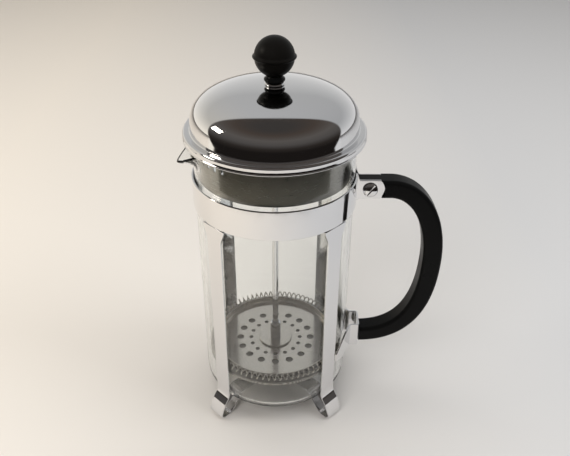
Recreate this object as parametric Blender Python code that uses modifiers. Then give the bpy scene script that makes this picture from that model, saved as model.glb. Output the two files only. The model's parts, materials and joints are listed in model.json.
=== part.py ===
"""A French press: a glass beaker in a chromed frame, under a domed lid with a filter plunger.

Everything is in metres. The beaker's axis is vertical, +X points at the handle, and the feet
stand on z = 0. The origin is under the middle of the whole press, so the beaker's axis lies
a little towards the spout side of it.
"""

import math

import bmesh
import bpy
from mathutils import Matrix, Vector
from mathutils.geometry import interpolate_bezier

MM = 0.001

# Fits between pieces
GAP = 0.3 * MM  # left between pieces that touch
BOLT_PLAY = 0.35 * MM  # radial play of a screw or rod in its hole
SLIDE_PLAY = 0.3 * MM  # radial play of the rod where it is guided

# Glass beaker
BEAKER_R = 48.0 * MM
BEAKER_H = 178.6 * MM
GLASS = 1.8 * MM
BEAKER_Z = 13.4 * MM  # underside, above the table
RIM_Z = BEAKER_Z + BEAKER_H
HEEL_R = 6.5 * MM
FLOOR_THICK = 2.5 * MM
LIP_H = 19.5 * MM  # the wall starts to lean out this far below the rim
LIP_Z = RIM_Z - LIP_H
LIP_REACH = 12.0 * MM
LIP_DROP = 7.0 * MM
LIP_HALF_ANGLE = math.radians(9.0)
SPOUT_ANGLE = math.radians(-156.0)  # measured from the handle

# Frame
BAND_CLEAR = 0.4 * MM
BAND_THICK = 1.2 * MM
BAND_R = BEAKER_R + BAND_CLEAR + BAND_THICK
BAND_H = 18.3 * MM
BAND_Z = RIM_Z - 42.9 * MM
LEG_W = 11.7 * MM
LEG_THICK = 1.2 * MM
LEG_R = BAND_R - LEG_THICK / 2
SHOULDER_W = 3.0 * MM
SHOULDER_H = 10.0 * MM
LEG_ANGLES = {"front": math.radians(-135.0), "rear": math.radians(-45.0)}
KNEE_Z = 16.5 * MM  # where the leg starts to sweep out
INSTEP = (LEG_R + 4.0 * MM, 11.6 * MM)  # radius and height of the crease above the toe
TOE_R = LEG_R + 9.0 * MM
PAD_INNER_R = LEG_R - 0.5 * MM  # the foot is flat on the table out from here
CRADLE_R = LEG_R - 12.0 * MM  # where the strip reaches the beaker's underside
CROSSING = 12.0 * MM  # half the dip of the lower strip
JOGGLE = LEG_THICK + GAP  # the lower strip dips this far to pass under the upper one
RIVET_R = 3.0 * MM

# Handle and its two fixings
HANDLE_W = 13.0 * MM
TONGUE_W = 6.0 * MM
EAR_THICK = BAND_THICK
EAR_H = 12.6 * MM
EAR_Z = BAND_Z + 7.4 * MM
EAR_REACH = BAND_R + 16.6 * MM
EAR_END_R = 9.0 * MM
HANDLE_TOP_Z = EAR_Z + 0.3 * MM
HANDLE_TOP_DEPTH = 11.8 * MM
HANDLE_GRIP_DEPTH = 12.5 * MM
HANDLE_END_DEPTH = 11.0 * MM
HANDLE_BEND_X = EAR_REACH + 3.8 * MM
HANDLE_GRIP_X = BAND_R + 51.3 * MM
HANDLE_GRIP_Z = HANDLE_TOP_Z - 52.3 * MM
HANDLE_ROUND = 1.6 * MM
CLAMP_X = EAR_REACH - 8.8 * MM
SCREW_R = 2.0 * MM
SCREW_HEAD_R = 4.5 * MM
SCREW_HEAD_H = 2.2 * MM
NUT_ACROSS = 7.0 * MM
NUT_H = 3.0 * MM
STRAP_THICK = 1.2 * MM
STRAP_OUT = BAND_R + 7.7 * MM
STRAP_W = HANDLE_W + 2 * STRAP_THICK
STRAP_Z = 35.0 * MM
STRAP_H = 18.0 * MM
STRAP_BOX = 6.4 * MM  # length of the box round the handle's end
STRAP_PROUD = 1.1 * MM  # the arms' middle stands this far outside the legs' middle
STRAP_LOWER = (0.48, 6.4 * MM)  # share of the arm its lower edge rises over, and its rise
STRAP_UPPER = (0.71, -5.7 * MM)  # the same for the fall of its upper edge
HANDLE_END_Z = STRAP_Z + 7.5 * MM
END_SCREW_R = 1.6 * MM
END_SCREW_LENGTH = 14.0 * MM

# Lid
DOME_SHEET = 0.7 * MM
DOME_R = BEAKER_R + 0.65 * MM
DOME_H = 23.4 * MM
DOME_Z = RIM_Z + 5.5 * MM
DOME_APEX_Z = DOME_Z + DOME_H
DOME_CROWN = 2.4  # how flat the crown is
DOME_SHOULDER = 0.36  # how square the shoulder is
LID_R = BEAKER_R + 4.95 * MM
LID_EDGE_Z = RIM_Z - 1.4 * MM
LID_FLANGE_Z = RIM_Z + 3.8 * MM
LINER_CLEAR = 1.0 * MM
LINER_R = BEAKER_R - GLASS - LINER_CLEAR
LINER_SHEET = 0.6 * MM
LINER_Z = RIM_Z - 23.6 * MM
SLOT_W = 2.4 * MM
SLOT_H = 6.0 * MM
SLOT_COUNT = 9
SLOT_STEP = math.radians(7.0)
BRIDGE_W = 10.0 * MM
BRIDGE_Z = LINER_Z + 9.1 * MM
BRIDGE_THICK = 0.8 * MM

# Plunger
ROD_R = 2.0 * MM
BUSH_R = ROD_R + 1.6 * MM
BUSH_FLANGE_R = BUSH_R + 2.0 * MM
KNOB_R = 11.25 * MM
KNOB_RIM_R = KNOB_R + 0.95 * MM
KNOB_RIM_H = 1.6 * MM
KNOB_NECK_R = ROD_R + 2.8 * MM
KNOB_NECK_H = 0.23 * MM
COLLAR_R = KNOB_NECK_R + 1.2 * MM
COLLAR_H = 3.4 * MM
COLLAR_Z = DOME_APEX_Z + 2 * GAP + 1.1 * MM  # its base, on the flange of the dome's bush
NECK_Z = COLLAR_Z + COLLAR_H + GAP
KNOB_Z = NECK_Z + KNOB_NECK_H + math.sqrt(KNOB_R**2 - KNOB_NECK_R**2)
INSERT_WALL = 1.3 * MM
FERRULE_R = ROD_R + 1.7 * MM
FERRULE_H = 13.0 * MM
WASHER_R = 11.25 * MM
WASHER_H = 1.0 * MM

# Filter
PLATE_Z = BEAKER_Z + FLOOR_THICK + 20.2 * MM  # its upper face
PLATE_SHEET = 0.8 * MM
PLATE_RIM_H = 4.0 * MM
OUTER_HOLES = (16, 24.5 * MM, 2.4 * MM)  # how many, on what radius, hole radius
INNER_HOLES = (16, 17.1 * MM, 1.4 * MM)
COIL_CLEAR = 0.4 * MM
COIL_TUBE_R = 2.2 * MM
COIL_WIRE_R = 0.35 * MM
COIL_TURNS = 36
COIL_R = BEAKER_R - GLASS - COIL_CLEAR - COIL_TUBE_R - COIL_WIRE_R
COIL_Z = PLATE_Z + PLATE_RIM_H
PLATE_R = COIL_R - COIL_TUBE_R - COIL_WIRE_R - GAP
MESH_R = BEAKER_R - GLASS - 2 * COIL_CLEAR
MESH_THICK = 0.5 * MM
MESH_RIM_R = PLATE_R + 2 * GAP  # the rim stands up outside the plate, under the coil
CROSS_R = MESH_R - 2.4 * MM
CROSS_THICK = 0.9 * MM
CROSS_WINDOWS = 6
CROSS_RIB = 6.0 * MM
FILTER_NUT_ACROSS = 11.0 * MM
FILTER_NUT_H = 4.2 * MM

LARGE_STEPS = 40
SMALL_STEPS = 24

# The overall width runs from the spout's tip, or the lid's edge, to the back of the grip.
SPOUT_END_X = max(LID_R, -(BEAKER_R - GLASS / 2 + LIP_REACH) * math.cos(SPOUT_ANGLE))
GRIP_END_X = HANDLE_GRIP_X + HANDLE_GRIP_DEPTH / 2
AXIS_X = (SPOUT_END_X - GRIP_END_X) / 2


# Materials, collections and placing


def make_material(name, colour, roughness, metallic=0.0, transmission=0.0):
    """A plain Principled material."""
    material = bpy.data.materials.new(name)
    material.use_nodes = True
    shader = material.node_tree.nodes["Principled BSDF"]
    shader.inputs["Base Color"].default_value = (*colour, 1.0)
    shader.inputs["Roughness"].default_value = roughness
    shader.inputs["Metallic"].default_value = metallic
    shader.inputs["Transmission Weight"].default_value = transmission
    return material


def make_materials():
    """The finishes, by the names that the pieces use."""
    return {
        "chrome": make_material("chrome", (0.78, 0.78, 0.78), 0.06, 1.0),
        "steel": make_material("steel", (0.58, 0.57, 0.54), 0.25, 1.0),
        "brass": make_material("brass", (0.72, 0.56, 0.28), 0.3, 1.0),
        "glass": make_material("glass", (0.95, 0.97, 0.96), 0.02, 0.0, 1.0),
        "matte_black": make_material("matte_black", (0.02, 0.02, 0.02), 0.5),
        "gloss_black": make_material("gloss_black", (0.01, 0.01, 0.01), 0.15),
    }


def clear_scene():
    """Remove what the file starts with."""
    for item in list(bpy.context.scene.objects):
        bpy.data.objects.remove(item, do_unlink=True)


def new_collection(name):
    """A collection in the scene."""
    group = bpy.data.collections.new(name)
    bpy.context.scene.collection.children.link(group)
    return group


def place(item, material=None, cutter=False):
    """Put an object in its collection, hang it on the beaker's axis and give it its finish."""
    (CUTTERS if cutter else PARTS).objects.link(item)
    item.parent = AXIS
    if cutter:
        item.hide_render = True
        item.display_type = "WIRE"
    else:
        item.data.materials.clear()
        item.data.materials.append(FINISH[material])
    return item


def smooth(item, degrees=35.0):
    """Shade round faces smooth and keep real edges sharp."""
    item.data.shade_smooth()
    item.data.set_sharp_from_angle(angle=math.radians(degrees))


# Shape tools


def turned(name, profile, material=None, steps=LARGE_STEPS, closed=True, sheet=0.0, cutter=False):
    """A profile of (radius, height) points, running down its outer side, turned about Z."""
    mesh = bpy.data.meshes.new(name)
    count = len(profile)
    edges = [(i, i + 1) for i in range(count - 1)]
    if closed:
        edges.append((count - 1, 0))
    mesh.from_pydata([(r, 0.0, z) for r, z in profile], edges, [])
    item = bpy.data.objects.new(name, mesh)
    screw = item.modifiers.new("turn", "SCREW")
    screw.axis = "Z"
    screw.steps = steps
    screw.render_steps = steps
    screw.use_merge_vertices = True
    screw.merge_threshold = 0.00001
    screw.use_smooth_shade = True
    if sheet:
        solid = item.modifiers.new("sheet", "SOLIDIFY")
        solid.thickness = sheet
        solid.offset = -1.0
        solid.use_even_offset = True
    return place(item, material, cutter)


def baked(item):
    """The object with its modifiers or its curve turned into a plain mesh."""
    bpy.context.view_layer.update()
    graph = bpy.context.evaluated_depsgraph_get()
    mesh = bpy.data.meshes.new_from_object(item.evaluated_get(graph))
    shape = bmesh.new()
    shape.from_mesh(mesh)
    bmesh.ops.remove_doubles(shape, verts=shape.verts, dist=0.000001)
    shape.to_mesh(mesh)
    shape.free()
    name = item.name
    group = item.users_collection[0]
    fresh = bpy.data.objects.new(name + "_mesh", mesh)
    group.objects.link(fresh)
    fresh.parent = item.parent
    fresh.matrix_local = item.matrix_local.copy()
    fresh.hide_render = item.hide_render
    fresh.display_type = item.display_type
    bpy.data.objects.remove(item, do_unlink=True)
    fresh.name = name
    return fresh


def extruded(name, outlines, thickness, material=None, turn=None, at=(0, 0, 0), cutter=False):
    """Flat outlines, the first one solid and any others holes in it, made thick about their plane."""
    curve = bpy.data.curves.new(name, "CURVE")
    curve.dimensions = "2D"
    curve.fill_mode = "BOTH"
    curve.extrude = thickness / 2
    for outline in outlines:
        spline = curve.splines.new("POLY")
        spline.points.add(len(outline) - 1)
        for point, (x, y) in zip(spline.points, outline):
            point.co = (x, y, 0.0, 1.0)
        spline.use_cyclic_u = True
    item = bpy.data.objects.new(name, curve)
    place(item, material, cutter)
    item.matrix_local = Matrix.Translation(at) @ (turn or Matrix.Identity(4))
    return baked(item)


def boolean(item, tool):
    """Cut one object with another."""
    change = item.modifiers.new("cut", "BOOLEAN")
    change.operation = "DIFFERENCE"
    change.solver = "EXACT"
    change.object = tool


def rod_cutter(name, radius, length, at, along="Z", steps=SMALL_STEPS):
    """A round cutter, centred at a point, along one axis."""
    half = length / 2
    tool = turned(name, [(0, half), (radius, half), (radius, -half), (0, -half)], None, steps, False,
                  cutter=True)
    turn = {"Z": Matrix.Identity(4), "Y": UPRIGHT, "X": Matrix.Rotation(math.pi / 2, 4, "Y")}[along]
    tool.matrix_local = Matrix.Translation(at) @ turn
    return tool


def arc(centre, radius, start, end, count):
    """Points along an arc, both ends included, angles in radians."""
    step = (end - start) / (count - 1)
    angles = [start + step * i for i in range(count)]
    return [(centre[0] + radius * math.cos(a), centre[1] + radius * math.sin(a)) for a in angles]


def filleted(path, radii, count=5):
    """A path whose inner corners are rounded, each with its own radius."""
    points = [Vector(path[0])]
    for before, here, after, radius in zip(path, path[1:], path[2:], radii):
        before, here, after = Vector(before), Vector(here), Vector(after)
        into = (here - before).normalized()
        out = (after - here).normalized()
        bend = into.angle(out)
        if radius <= 0 or bend < 0.001:
            points.append(here)
            continue
        reach = radius * math.tan(bend / 2)
        left = 1.0 if into.cross(out) > 0 else -1.0
        centre = here - into * reach + Vector((-into.y, into.x)) * radius * left
        first = here - into * reach - centre
        for i in range(count):
            turn = Matrix.Rotation(left * bend * i / (count - 1), 2)
            points.append(centre + turn @ first)
    points.append(Vector(path[-1]))
    return [tuple(point) for point in points]


def ribbon(path, halves):
    """The closed outline of a strip laid along a path, with half its thickness at each point."""
    if isinstance(halves, float):
        halves = [halves] * len(path)
    points = [Vector(point) for point in path]
    left, right = [], []
    for i, point in enumerate(points):
        into = (point - points[max(i - 1, 0)]).normalized()
        out = (points[min(i + 1, len(points) - 1)] - point).normalized()
        along = (into + out).normalized()
        normal = Vector((-along.y, along.x))
        miter = halves[i] / max(normal.dot(Vector((-out.y, out.x)) if out.length else normal), 0.3)
        if i in (0, len(points) - 1):
            miter = halves[i]
        left.append(tuple(point + normal * miter))
        right.append(tuple(point - normal * miter))
    return left + right[::-1]


# Glass beaker


def lip_weight(angle):
    """How far a stretch of the rim belongs to the spout, from 0 to 1."""
    away = abs((angle - SPOUT_ANGLE + math.pi) % (2 * math.pi) - math.pi)
    return math.exp(-((away / LIP_HALF_ANGLE) ** 1.6))


def lean_out(point):
    """Move a point of the straight wall to where it lies in the spout's poured lip."""
    radius = math.hypot(point.x, point.y)
    if point.z <= LIP_Z or radius < BEAKER_R / 2:
        return
    angle = math.atan2(point.y, point.x)
    weight = lip_weight(angle)
    height = RIM_Z - LIP_Z
    share = (point.z - LIP_Z) / height
    middle = BEAKER_R - GLASS / 2
    off = radius - middle
    out = middle + LIP_REACH * weight * share**3
    up = LIP_Z + height * share - LIP_DROP * weight * share**2
    tangent = Vector((3 * LIP_REACH * weight * share**2, height - 2 * LIP_DROP * weight * share))
    tangent.normalize()
    out += off * tangent.y
    up -= off * tangent.x
    point.x = out * math.cos(angle)
    point.y = out * math.sin(angle)
    point.z = up


def make_beaker():
    """A thin cup with a rounded heel and a poured lip."""
    inner_r = BEAKER_R - GLASS
    inner_heel = HEEL_R - GLASS
    floor_z = BEAKER_Z + FLOOR_THICK
    lip_steps = 7
    heights = [LIP_Z + (RIM_Z - GLASS / 2 - LIP_Z) * i / lip_steps for i in range(lip_steps + 1)]
    profile = [(0, floor_z)]
    profile += arc((inner_r - inner_heel, floor_z + inner_heel), inner_heel, -math.pi / 2, 0, 4)
    profile += [(inner_r, z) for z in heights]
    profile += [(BEAKER_R - GLASS / 2, RIM_Z)]
    profile += [(BEAKER_R, z) for z in reversed(heights)]
    profile += arc((BEAKER_R - HEEL_R, BEAKER_Z + HEEL_R), HEEL_R, 0, -math.pi / 2, 5)
    profile += [(0, BEAKER_Z)]
    beaker = baked(turned("beaker", profile, "glass", LARGE_STEPS + 8, closed=False))
    beaker.data.transform(Matrix.Rotation(SPOUT_ANGLE, 4, "Z"))
    for vertex in beaker.data.vertices:
        lean_out(vertex.co)
    smooth(beaker)


# Frame


def make_band():
    """The split ring around the beaker, its two ends turned out as ears for the clamp screw."""
    centre_y = TONGUE_W / 2 + GAP + EAR_THICK / 2
    middle_r = BAND_R - BAND_THICK / 2
    start = math.asin(centre_y / middle_r)
    ring = arc((0, 0), middle_r, start, 2 * math.pi - start, LARGE_STEPS)
    path = [(EAR_REACH, centre_y)] + ring + [(EAR_REACH, -centre_y)]
    band = extruded("frame_band", [ribbon(path, BAND_THICK / 2)], BAND_H, "chrome",
                    at=(0, 0, BAND_Z + BAND_H / 2))
    root_x = BAND_R + GAP
    half = EAR_H / 2
    end_centre_x = EAR_REACH - EAR_END_R
    swing = math.asin(half / EAR_END_R)
    ear = [(root_x, EAR_Z - half)]
    ear += arc((end_centre_x, EAR_Z), EAR_END_R, -swing, swing, 9)
    ear += [(root_x, EAR_Z + half)]
    margin = 4 * MM
    low, high = BAND_Z - margin, BAND_Z + BAND_H + margin
    far = EAR_REACH + margin
    block = [(root_x, low), (far, low), (far, high), (root_x, high)]
    trim = [(root_x - GAP, z) if x == root_x else (x, z) for x, z in ear]
    notch = extruded("ear_cutter", [ear_surround(block, trim)], HANDLE_W * 1.5, turn=UPRIGHT, cutter=True)
    boolean(band, notch)
    hole = rod_cutter("ear_hole_cutter", SCREW_R + BOLT_PLAY, HANDLE_W * 2, (CLAMP_X, 0, EAR_Z), "Y")
    boolean(band, hole)
    smooth(band)


def ear_surround(block, ear):
    """The part of a block outside an ear's outline: one C-shaped loop around it."""
    corner_low, far_low, far_high, corner_high = block
    return [corner_low, far_low, far_high, corner_high] + [(corner_high[0], ear[-1][1])] + \
        ear[-2:0:-1] + [(corner_low[0], ear[0][1])]


def leg_path(dip):
    """The line of a whole strip: down one leg, under the beaker and up the other."""
    half = LEG_THICK / 2
    top_z = BAND_Z - GAP
    cradle_z = BEAKER_Z - GAP - half
    side = [
        (LEG_R, top_z),
        (LEG_R, top_z - SHOULDER_H),
        (LEG_R, KNEE_Z),
        INSTEP,
        (TOE_R, half),
        (PAD_INNER_R, half),
        (CRADLE_R, cradle_z),
    ]
    radii = [0, 8 * MM, 1.2 * MM, 2.8 * MM, 4 * MM, 4 * MM]
    if dip:
        side += [(CROSSING + 4 * MM, cradle_z), (CROSSING, cradle_z - dip)]
        radii += [3 * MM, 3 * MM]
    path = side + [(-s, z) for s, z in reversed(side)]
    return filleted(path, radii + radii[::-1])


def make_leg_strip(name, angle, dip):
    """One strip that forms two opposite legs and feet and passes under the beaker."""
    outline = ribbon(leg_path(dip), LEG_THICK / 2)
    turn = Matrix.Rotation(angle, 4, "Z") @ UPRIGHT
    strip = extruded(name, [outline], LEG_W, "chrome", turn=turn)
    shoulder_z = BAND_Z - GAP - SHOULDER_H / 2
    for vertex in strip.data.vertices:
        if vertex.co.y > shoulder_z:
            vertex.co.z += math.copysign(SHOULDER_W, vertex.co.z)
    level = BEAKER_Z - GAP - LEG_THICK / 2 - dip
    boolean(strip, rod_cutter(name + "_hole_cutter", RIVET_R / 2 + BOLT_PLAY, 6 * LEG_THICK, (0, 0, level)))
    smooth(strip)


def make_leg_rivet():
    """The rivet that holds the two strips together where they cross."""
    top = BEAKER_Z - GAP
    low = top - LEG_THICK - JOGGLE
    shank = RIVET_R / 2
    profile = [
        (0, top - GAP),
        (shank, top - GAP),
        (shank, low - GAP),
        (RIVET_R, low - GAP),
        (RIVET_R * 0.7, low - GAP - 1 * MM),
        (0, low - GAP - 1.3 * MM),
    ]
    smooth(turned("leg_rivet", profile, "steel", SMALL_STEPS, closed=False))


# Handle


def handle_line():
    """Points along the middle of the handle, from the clamp round to the lower end."""
    top = Vector((HANDLE_BEND_X, HANDLE_TOP_Z, 0))
    grip = Vector((HANDLE_GRIP_X, HANDLE_GRIP_Z, 0))
    end = Vector((STRAP_OUT + GAP, HANDLE_END_Z, 0))
    upper = (Vector((0.55 * (grip.x - top.x), 0, 0)), Vector((0, 0.61 * (top.y - grip.y), 0)))
    lower = (Vector((0, 0.72 * (end.y - grip.y), 0)), Vector((0.6 * (grip.x - end.x), 0, 0)))
    line = [Vector((BAND_R + GAP, HANDLE_TOP_Z, 0))]
    line += interpolate_bezier(top, top + upper[0], grip + upper[1], grip, 13)
    line += interpolate_bezier(grip, grip + lower[0], end + lower[1], end, 14)[1:]
    return [(point.x, point.y) for point in line]


def handle_halves(line):
    """Half the handle's depth at each point, fullest in the grip."""
    halves = []
    for x, z in line:
        rise = (z - HANDLE_GRIP_Z) / (HANDLE_TOP_Z - HANDLE_GRIP_Z)
        fall = (HANDLE_GRIP_Z - z) / (HANDLE_GRIP_Z - HANDLE_END_Z)
        end_depth = HANDLE_TOP_DEPTH if rise > 0 else HANDLE_END_DEPTH
        share = max(rise, fall, 0.0) ** 3
        halves.append((HANDLE_GRIP_DEPTH + (end_depth - HANDLE_GRIP_DEPTH) * share) / 2)
    return halves


def make_handle():
    """The grip: a rounded bar bent in a D, slimmed to a tongue between the ears."""
    line = handle_line()
    handle = extruded("handle", [ribbon(line, handle_halves(line))], HANDLE_W, "matte_black", turn=UPRIGHT)
    round_edges = handle.modifiers.new("round", "BEVEL")
    round_edges.width = HANDLE_ROUND
    round_edges.segments = 3
    round_edges.limit_method = "ANGLE"
    round_edges.angle_limit = math.radians(60)
    handle = baked(handle)
    pocket_y = (TONGUE_W + HANDLE_W) / 4 + HANDLE_W / 8
    depth = (HANDLE_W - TONGUE_W) / 2 + HANDLE_W / 4
    end_r = EAR_END_R + GAP
    swing = math.asin(0.95)
    tall = end_r * math.sin(swing)
    near = BAND_R - 2 * MM
    end_centre_x = EAR_REACH - EAR_END_R
    pocket = [(near, EAR_Z - tall)] + arc((end_centre_x, EAR_Z), end_r, -swing, swing, 11)
    pocket += [(near, EAR_Z + tall)]
    boolean(handle, rod_cutter("tongue_hole_cutter", SCREW_R + BOLT_PLAY, HANDLE_W, (CLAMP_X, 0, EAR_Z), "Y"))
    start = STRAP_OUT - 2 * MM
    reach = END_SCREW_LENGTH + 2 * MM
    end_hole = rod_cutter("end_hole_cutter", END_SCREW_R + BOLT_PLAY, reach,
                          (start + reach / 2, 0, HANDLE_END_Z), "X", 12)
    boolean(handle, end_hole)
    for side in (-1, 1):
        name = "pocket_cutter_front" if side < 0 else "pocket_cutter_back"
        tool = extruded(name, [pocket], depth, turn=UPRIGHT, at=(0, side * pocket_y, 0), cutter=True)
        boolean(handle, tool)
    smooth(handle)


def make_clamp():
    """The slotted screw through the ears and the tongue, its washer and its nut."""
    ear_face = TONGUE_W / 2 + GAP + EAR_THICK
    head_y = ear_face + GAP
    head = arc((0, head_y), 1.0, math.pi / 2, 0, 5)
    head = [(r * SCREW_HEAD_R, head_y + (y - head_y) * SCREW_HEAD_H) for r, y in head]
    washer_h = 0.8 * MM
    tip = -(ear_face + GAP + washer_h + GAP + NUT_H + 1 * MM)
    profile = head + [(SCREW_R, head_y), (SCREW_R, tip), (0, tip)]
    screw = turned("clamp_screw", profile, "chrome", SMALL_STEPS, closed=False)
    front = Matrix.Translation((CLAMP_X, 0, EAR_Z)) @ Matrix.Rotation(math.pi / 2, 4, "X")
    screw.matrix_local = front
    slot_w = 1.1 * MM
    wide = SCREW_HEAD_R * 1.2
    slot = extruded("clamp_slot_cutter", [[(-wide, -slot_w / 2), (wide, -slot_w / 2), (wide, slot_w / 2),
                                           (-wide, slot_w / 2)]], SCREW_HEAD_H, cutter=True)
    slot.matrix_local = front @ Matrix.Translation((0, 0, head_y + SCREW_HEAD_H * 1.05)) @ \
        Matrix.Rotation(math.radians(52), 4, "Z")
    boolean(screw, slot)
    smooth(screw)
    low = -(ear_face + GAP)
    ring = [(SCREW_HEAD_R, low), (SCREW_HEAD_R, low - washer_h), (SCREW_R + BOLT_PLAY, low - washer_h),
            (SCREW_R + BOLT_PLAY, low)]
    washer = turned("clamp_washer", ring, "steel", SMALL_STEPS)
    washer.matrix_local = front
    smooth(washer)
    nut_low = low - washer_h - GAP
    nut = make_nut("clamp_nut", NUT_ACROSS, NUT_H, SCREW_R + BOLT_PLAY, "chrome")
    nut.matrix_local = front @ Matrix.Translation((0, 0, nut_low - NUT_H / 2))


def make_nut(name, across, height, bore, material):
    """A hexagon nut about its own middle."""
    corner = across / math.sqrt(3)
    hexagon = [(corner * math.cos(a), corner * math.sin(a)) for a in [math.pi / 3 * i for i in range(6)]]
    hole = arc((0, 0), bore, 0, 2 * math.pi, 17)[:-1]
    nut = extruded(name, [hexagon, hole], height, material)
    smooth(nut)
    return nut


def strap_arm(box):
    """The arm's line from the rear leg's side edge to the box, kept clear of the glass."""
    half = STRAP_THICK / 2
    angle = abs(LEG_ANGLES["rear"])
    outward = Vector((math.cos(angle), math.sin(angle)))
    sideways = Vector((math.sin(angle), -math.cos(angle)))
    start = outward * (LEG_R + STRAP_PROUD) + sideways * (LEG_W / 2 + 2 * GAP)
    clear = BEAKER_R + 2 * GAP + half
    line = [start]
    for share in (STRAP_LOWER[0], STRAP_UPPER[0]):
        point = start.lerp(box, share)
        line.append(point * max(1.0, clear / point.length))
    return line + [box]


def make_strap():
    """The lower strap: from one leg's side edge, round the handle's end, to the other leg's."""
    half = STRAP_THICK / 2
    box = Vector((STRAP_OUT - STRAP_BOX, STRAP_W / 2 - half))
    out_x = STRAP_OUT - half
    side = strap_arm(box) + [Vector((out_x, box.y))]
    path = side + [Vector((point.x, -point.y)) for point in reversed(side)]
    path = filleted(path, [0, 0, 2 * MM, 1.4 * MM, 1.4 * MM, 2 * MM, 0, 0], 4)
    strap = extruded("handle_strap", [ribbon(path, half)], STRAP_H, "chrome",
                     at=(0, 0, STRAP_Z + STRAP_H / 2))
    reach = side[0].y - box.y
    for vertex in strap.data.vertices:
        share, shift = STRAP_LOWER if vertex.co.z < 0 else STRAP_UPPER
        past = abs(vertex.co.y) - (side[0].y - share * reach)
        vertex.co.z += shift * max(past, 0.0) / (share * reach)
    boolean(strap, rod_cutter("strap_hole_cutter", END_SCREW_R + BOLT_PLAY, 4 * MM,
                              (out_x, 0, HANDLE_END_Z), "X", 12))
    smooth(strap)


def make_end_screw():
    """The screw from inside the strap into the handle's lower end."""
    head_r = 2 * END_SCREW_R
    head_h = 1.6 * MM
    seat = STRAP_OUT - STRAP_THICK - GAP
    tip = STRAP_OUT + END_SCREW_LENGTH - 2 * MM
    profile = [
        (0, tip),
        (END_SCREW_R * 0.5, tip - 1 * MM),
        (END_SCREW_R, tip - 3 * MM),
        (END_SCREW_R, seat),
        (head_r, seat),
        (head_r * 0.8, seat - head_h),
        (0, seat - head_h),
    ]
    screw = turned("handle_end_screw", profile, "steel", 16, closed=False)
    screw.matrix_local = Matrix.Translation((0, 0, HANDLE_END_Z)) @ Matrix.Rotation(math.pi / 2, 4, "Y")
    smooth(screw)


# Lid


def dome_height(share):
    """The dome's height above its shoulder at a share of its radius."""
    return (DOME_APEX_Z - DOME_Z) * (1 - share**DOME_CROWN) ** DOME_SHOULDER


def make_dome():
    """The lid's polished cover: a dome, a flange and a short skirt, pressed from one sheet."""
    hole_r = BUSH_R + BOLT_PLAY
    angles = [math.pi / 2 * i / 8 for i in range(9)]
    shares = [hole_r / DOME_R + (1 - hole_r / DOME_R) * math.sin(a) for a in angles]
    profile = [(DOME_R * s, DOME_Z + dome_height(min(s, 1.0))) for s in shares]
    flare = LID_FLANGE_Z + 0.4 * MM
    profile += [(DOME_R + 0.4 * MM, flare + 0.4 * MM), (DOME_R + 1.4 * MM, flare)]
    profile += arc((LID_R - 1 * MM, LID_FLANGE_Z - 1 * MM), 1 * MM, math.pi / 2, 0, 4)
    profile += [(LID_R, LID_EDGE_Z)]
    smooth(turned("lid_dome", profile, "chrome", LARGE_STEPS, closed=False, sheet=DOME_SHEET))


def make_liner():
    """The steel liner under the dome: it hangs on the beaker's rim and strains the spout."""
    seat_z = RIM_Z + GAP
    top_z = LID_FLANGE_Z - DOME_SHEET - GAP - LINER_SHEET
    lip_r = LID_R - DOME_SHEET - 2 * GAP
    step_r = BEAKER_R + 1.2 * MM
    profile = [
        (lip_r, top_z),
        (step_r + 0.6 * MM, top_z),
        (step_r, top_z - 0.6 * MM),
        (step_r - 0.4 * MM, seat_z),
        (LINER_R + 0.8 * MM, seat_z),
        (LINER_R, seat_z - 0.8 * MM),
        (LINER_R, LINER_Z),
    ]
    liner = turned("lid_liner", profile, "steel", LARGE_STEPS, closed=False, sheet=LINER_SHEET)
    slot_z = RIM_Z - 3 * MM - SLOT_H / 2
    for i in range(SLOT_COUNT):
        angle = SPOUT_ANGLE + (i - (SLOT_COUNT - 1) / 2) * SLOT_STEP
        half_w, half_h = SLOT_W / 2, SLOT_H / 2
        outline = [(half_w, -half_h), (half_w, half_h), (-half_w, half_h), (-half_w, -half_h)]
        tool = extruded(f"slot_cutter_{i + 1}", [outline], 6 * MM, cutter=True)
        tool.matrix_local = Matrix.Rotation(angle, 4, "Z") @ Matrix.Translation((LINER_R, 0, slot_z)) @ \
            Matrix.Rotation(math.pi / 2, 4, "Z") @ UPRIGHT
        boolean(liner, tool)
    smooth(liner)


def make_bridge():
    """The bar across the liner that carries the rod's lower guide."""
    half = BRIDGE_THICK / 2
    inner = LINER_R - LINER_SHEET
    reach = math.sqrt(inner**2 - (BRIDGE_W / 2) ** 2) - 2 * GAP - half
    path = [(-reach, BRIDGE_Z - 5 * MM), (-reach, BRIDGE_Z), (reach, BRIDGE_Z), (reach, BRIDGE_Z - 5 * MM)]
    path = filleted(path, [1.2 * MM, 1.2 * MM], 4)
    bridge = extruded("guide_bridge", [ribbon(path, half)], BRIDGE_W, "steel", turn=UPRIGHT)
    boolean(bridge, rod_cutter("bridge_hole_cutter", BUSH_R + BOLT_PLAY, 6 * MM, (0, 0, BRIDGE_Z)))
    smooth(bridge)


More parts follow.
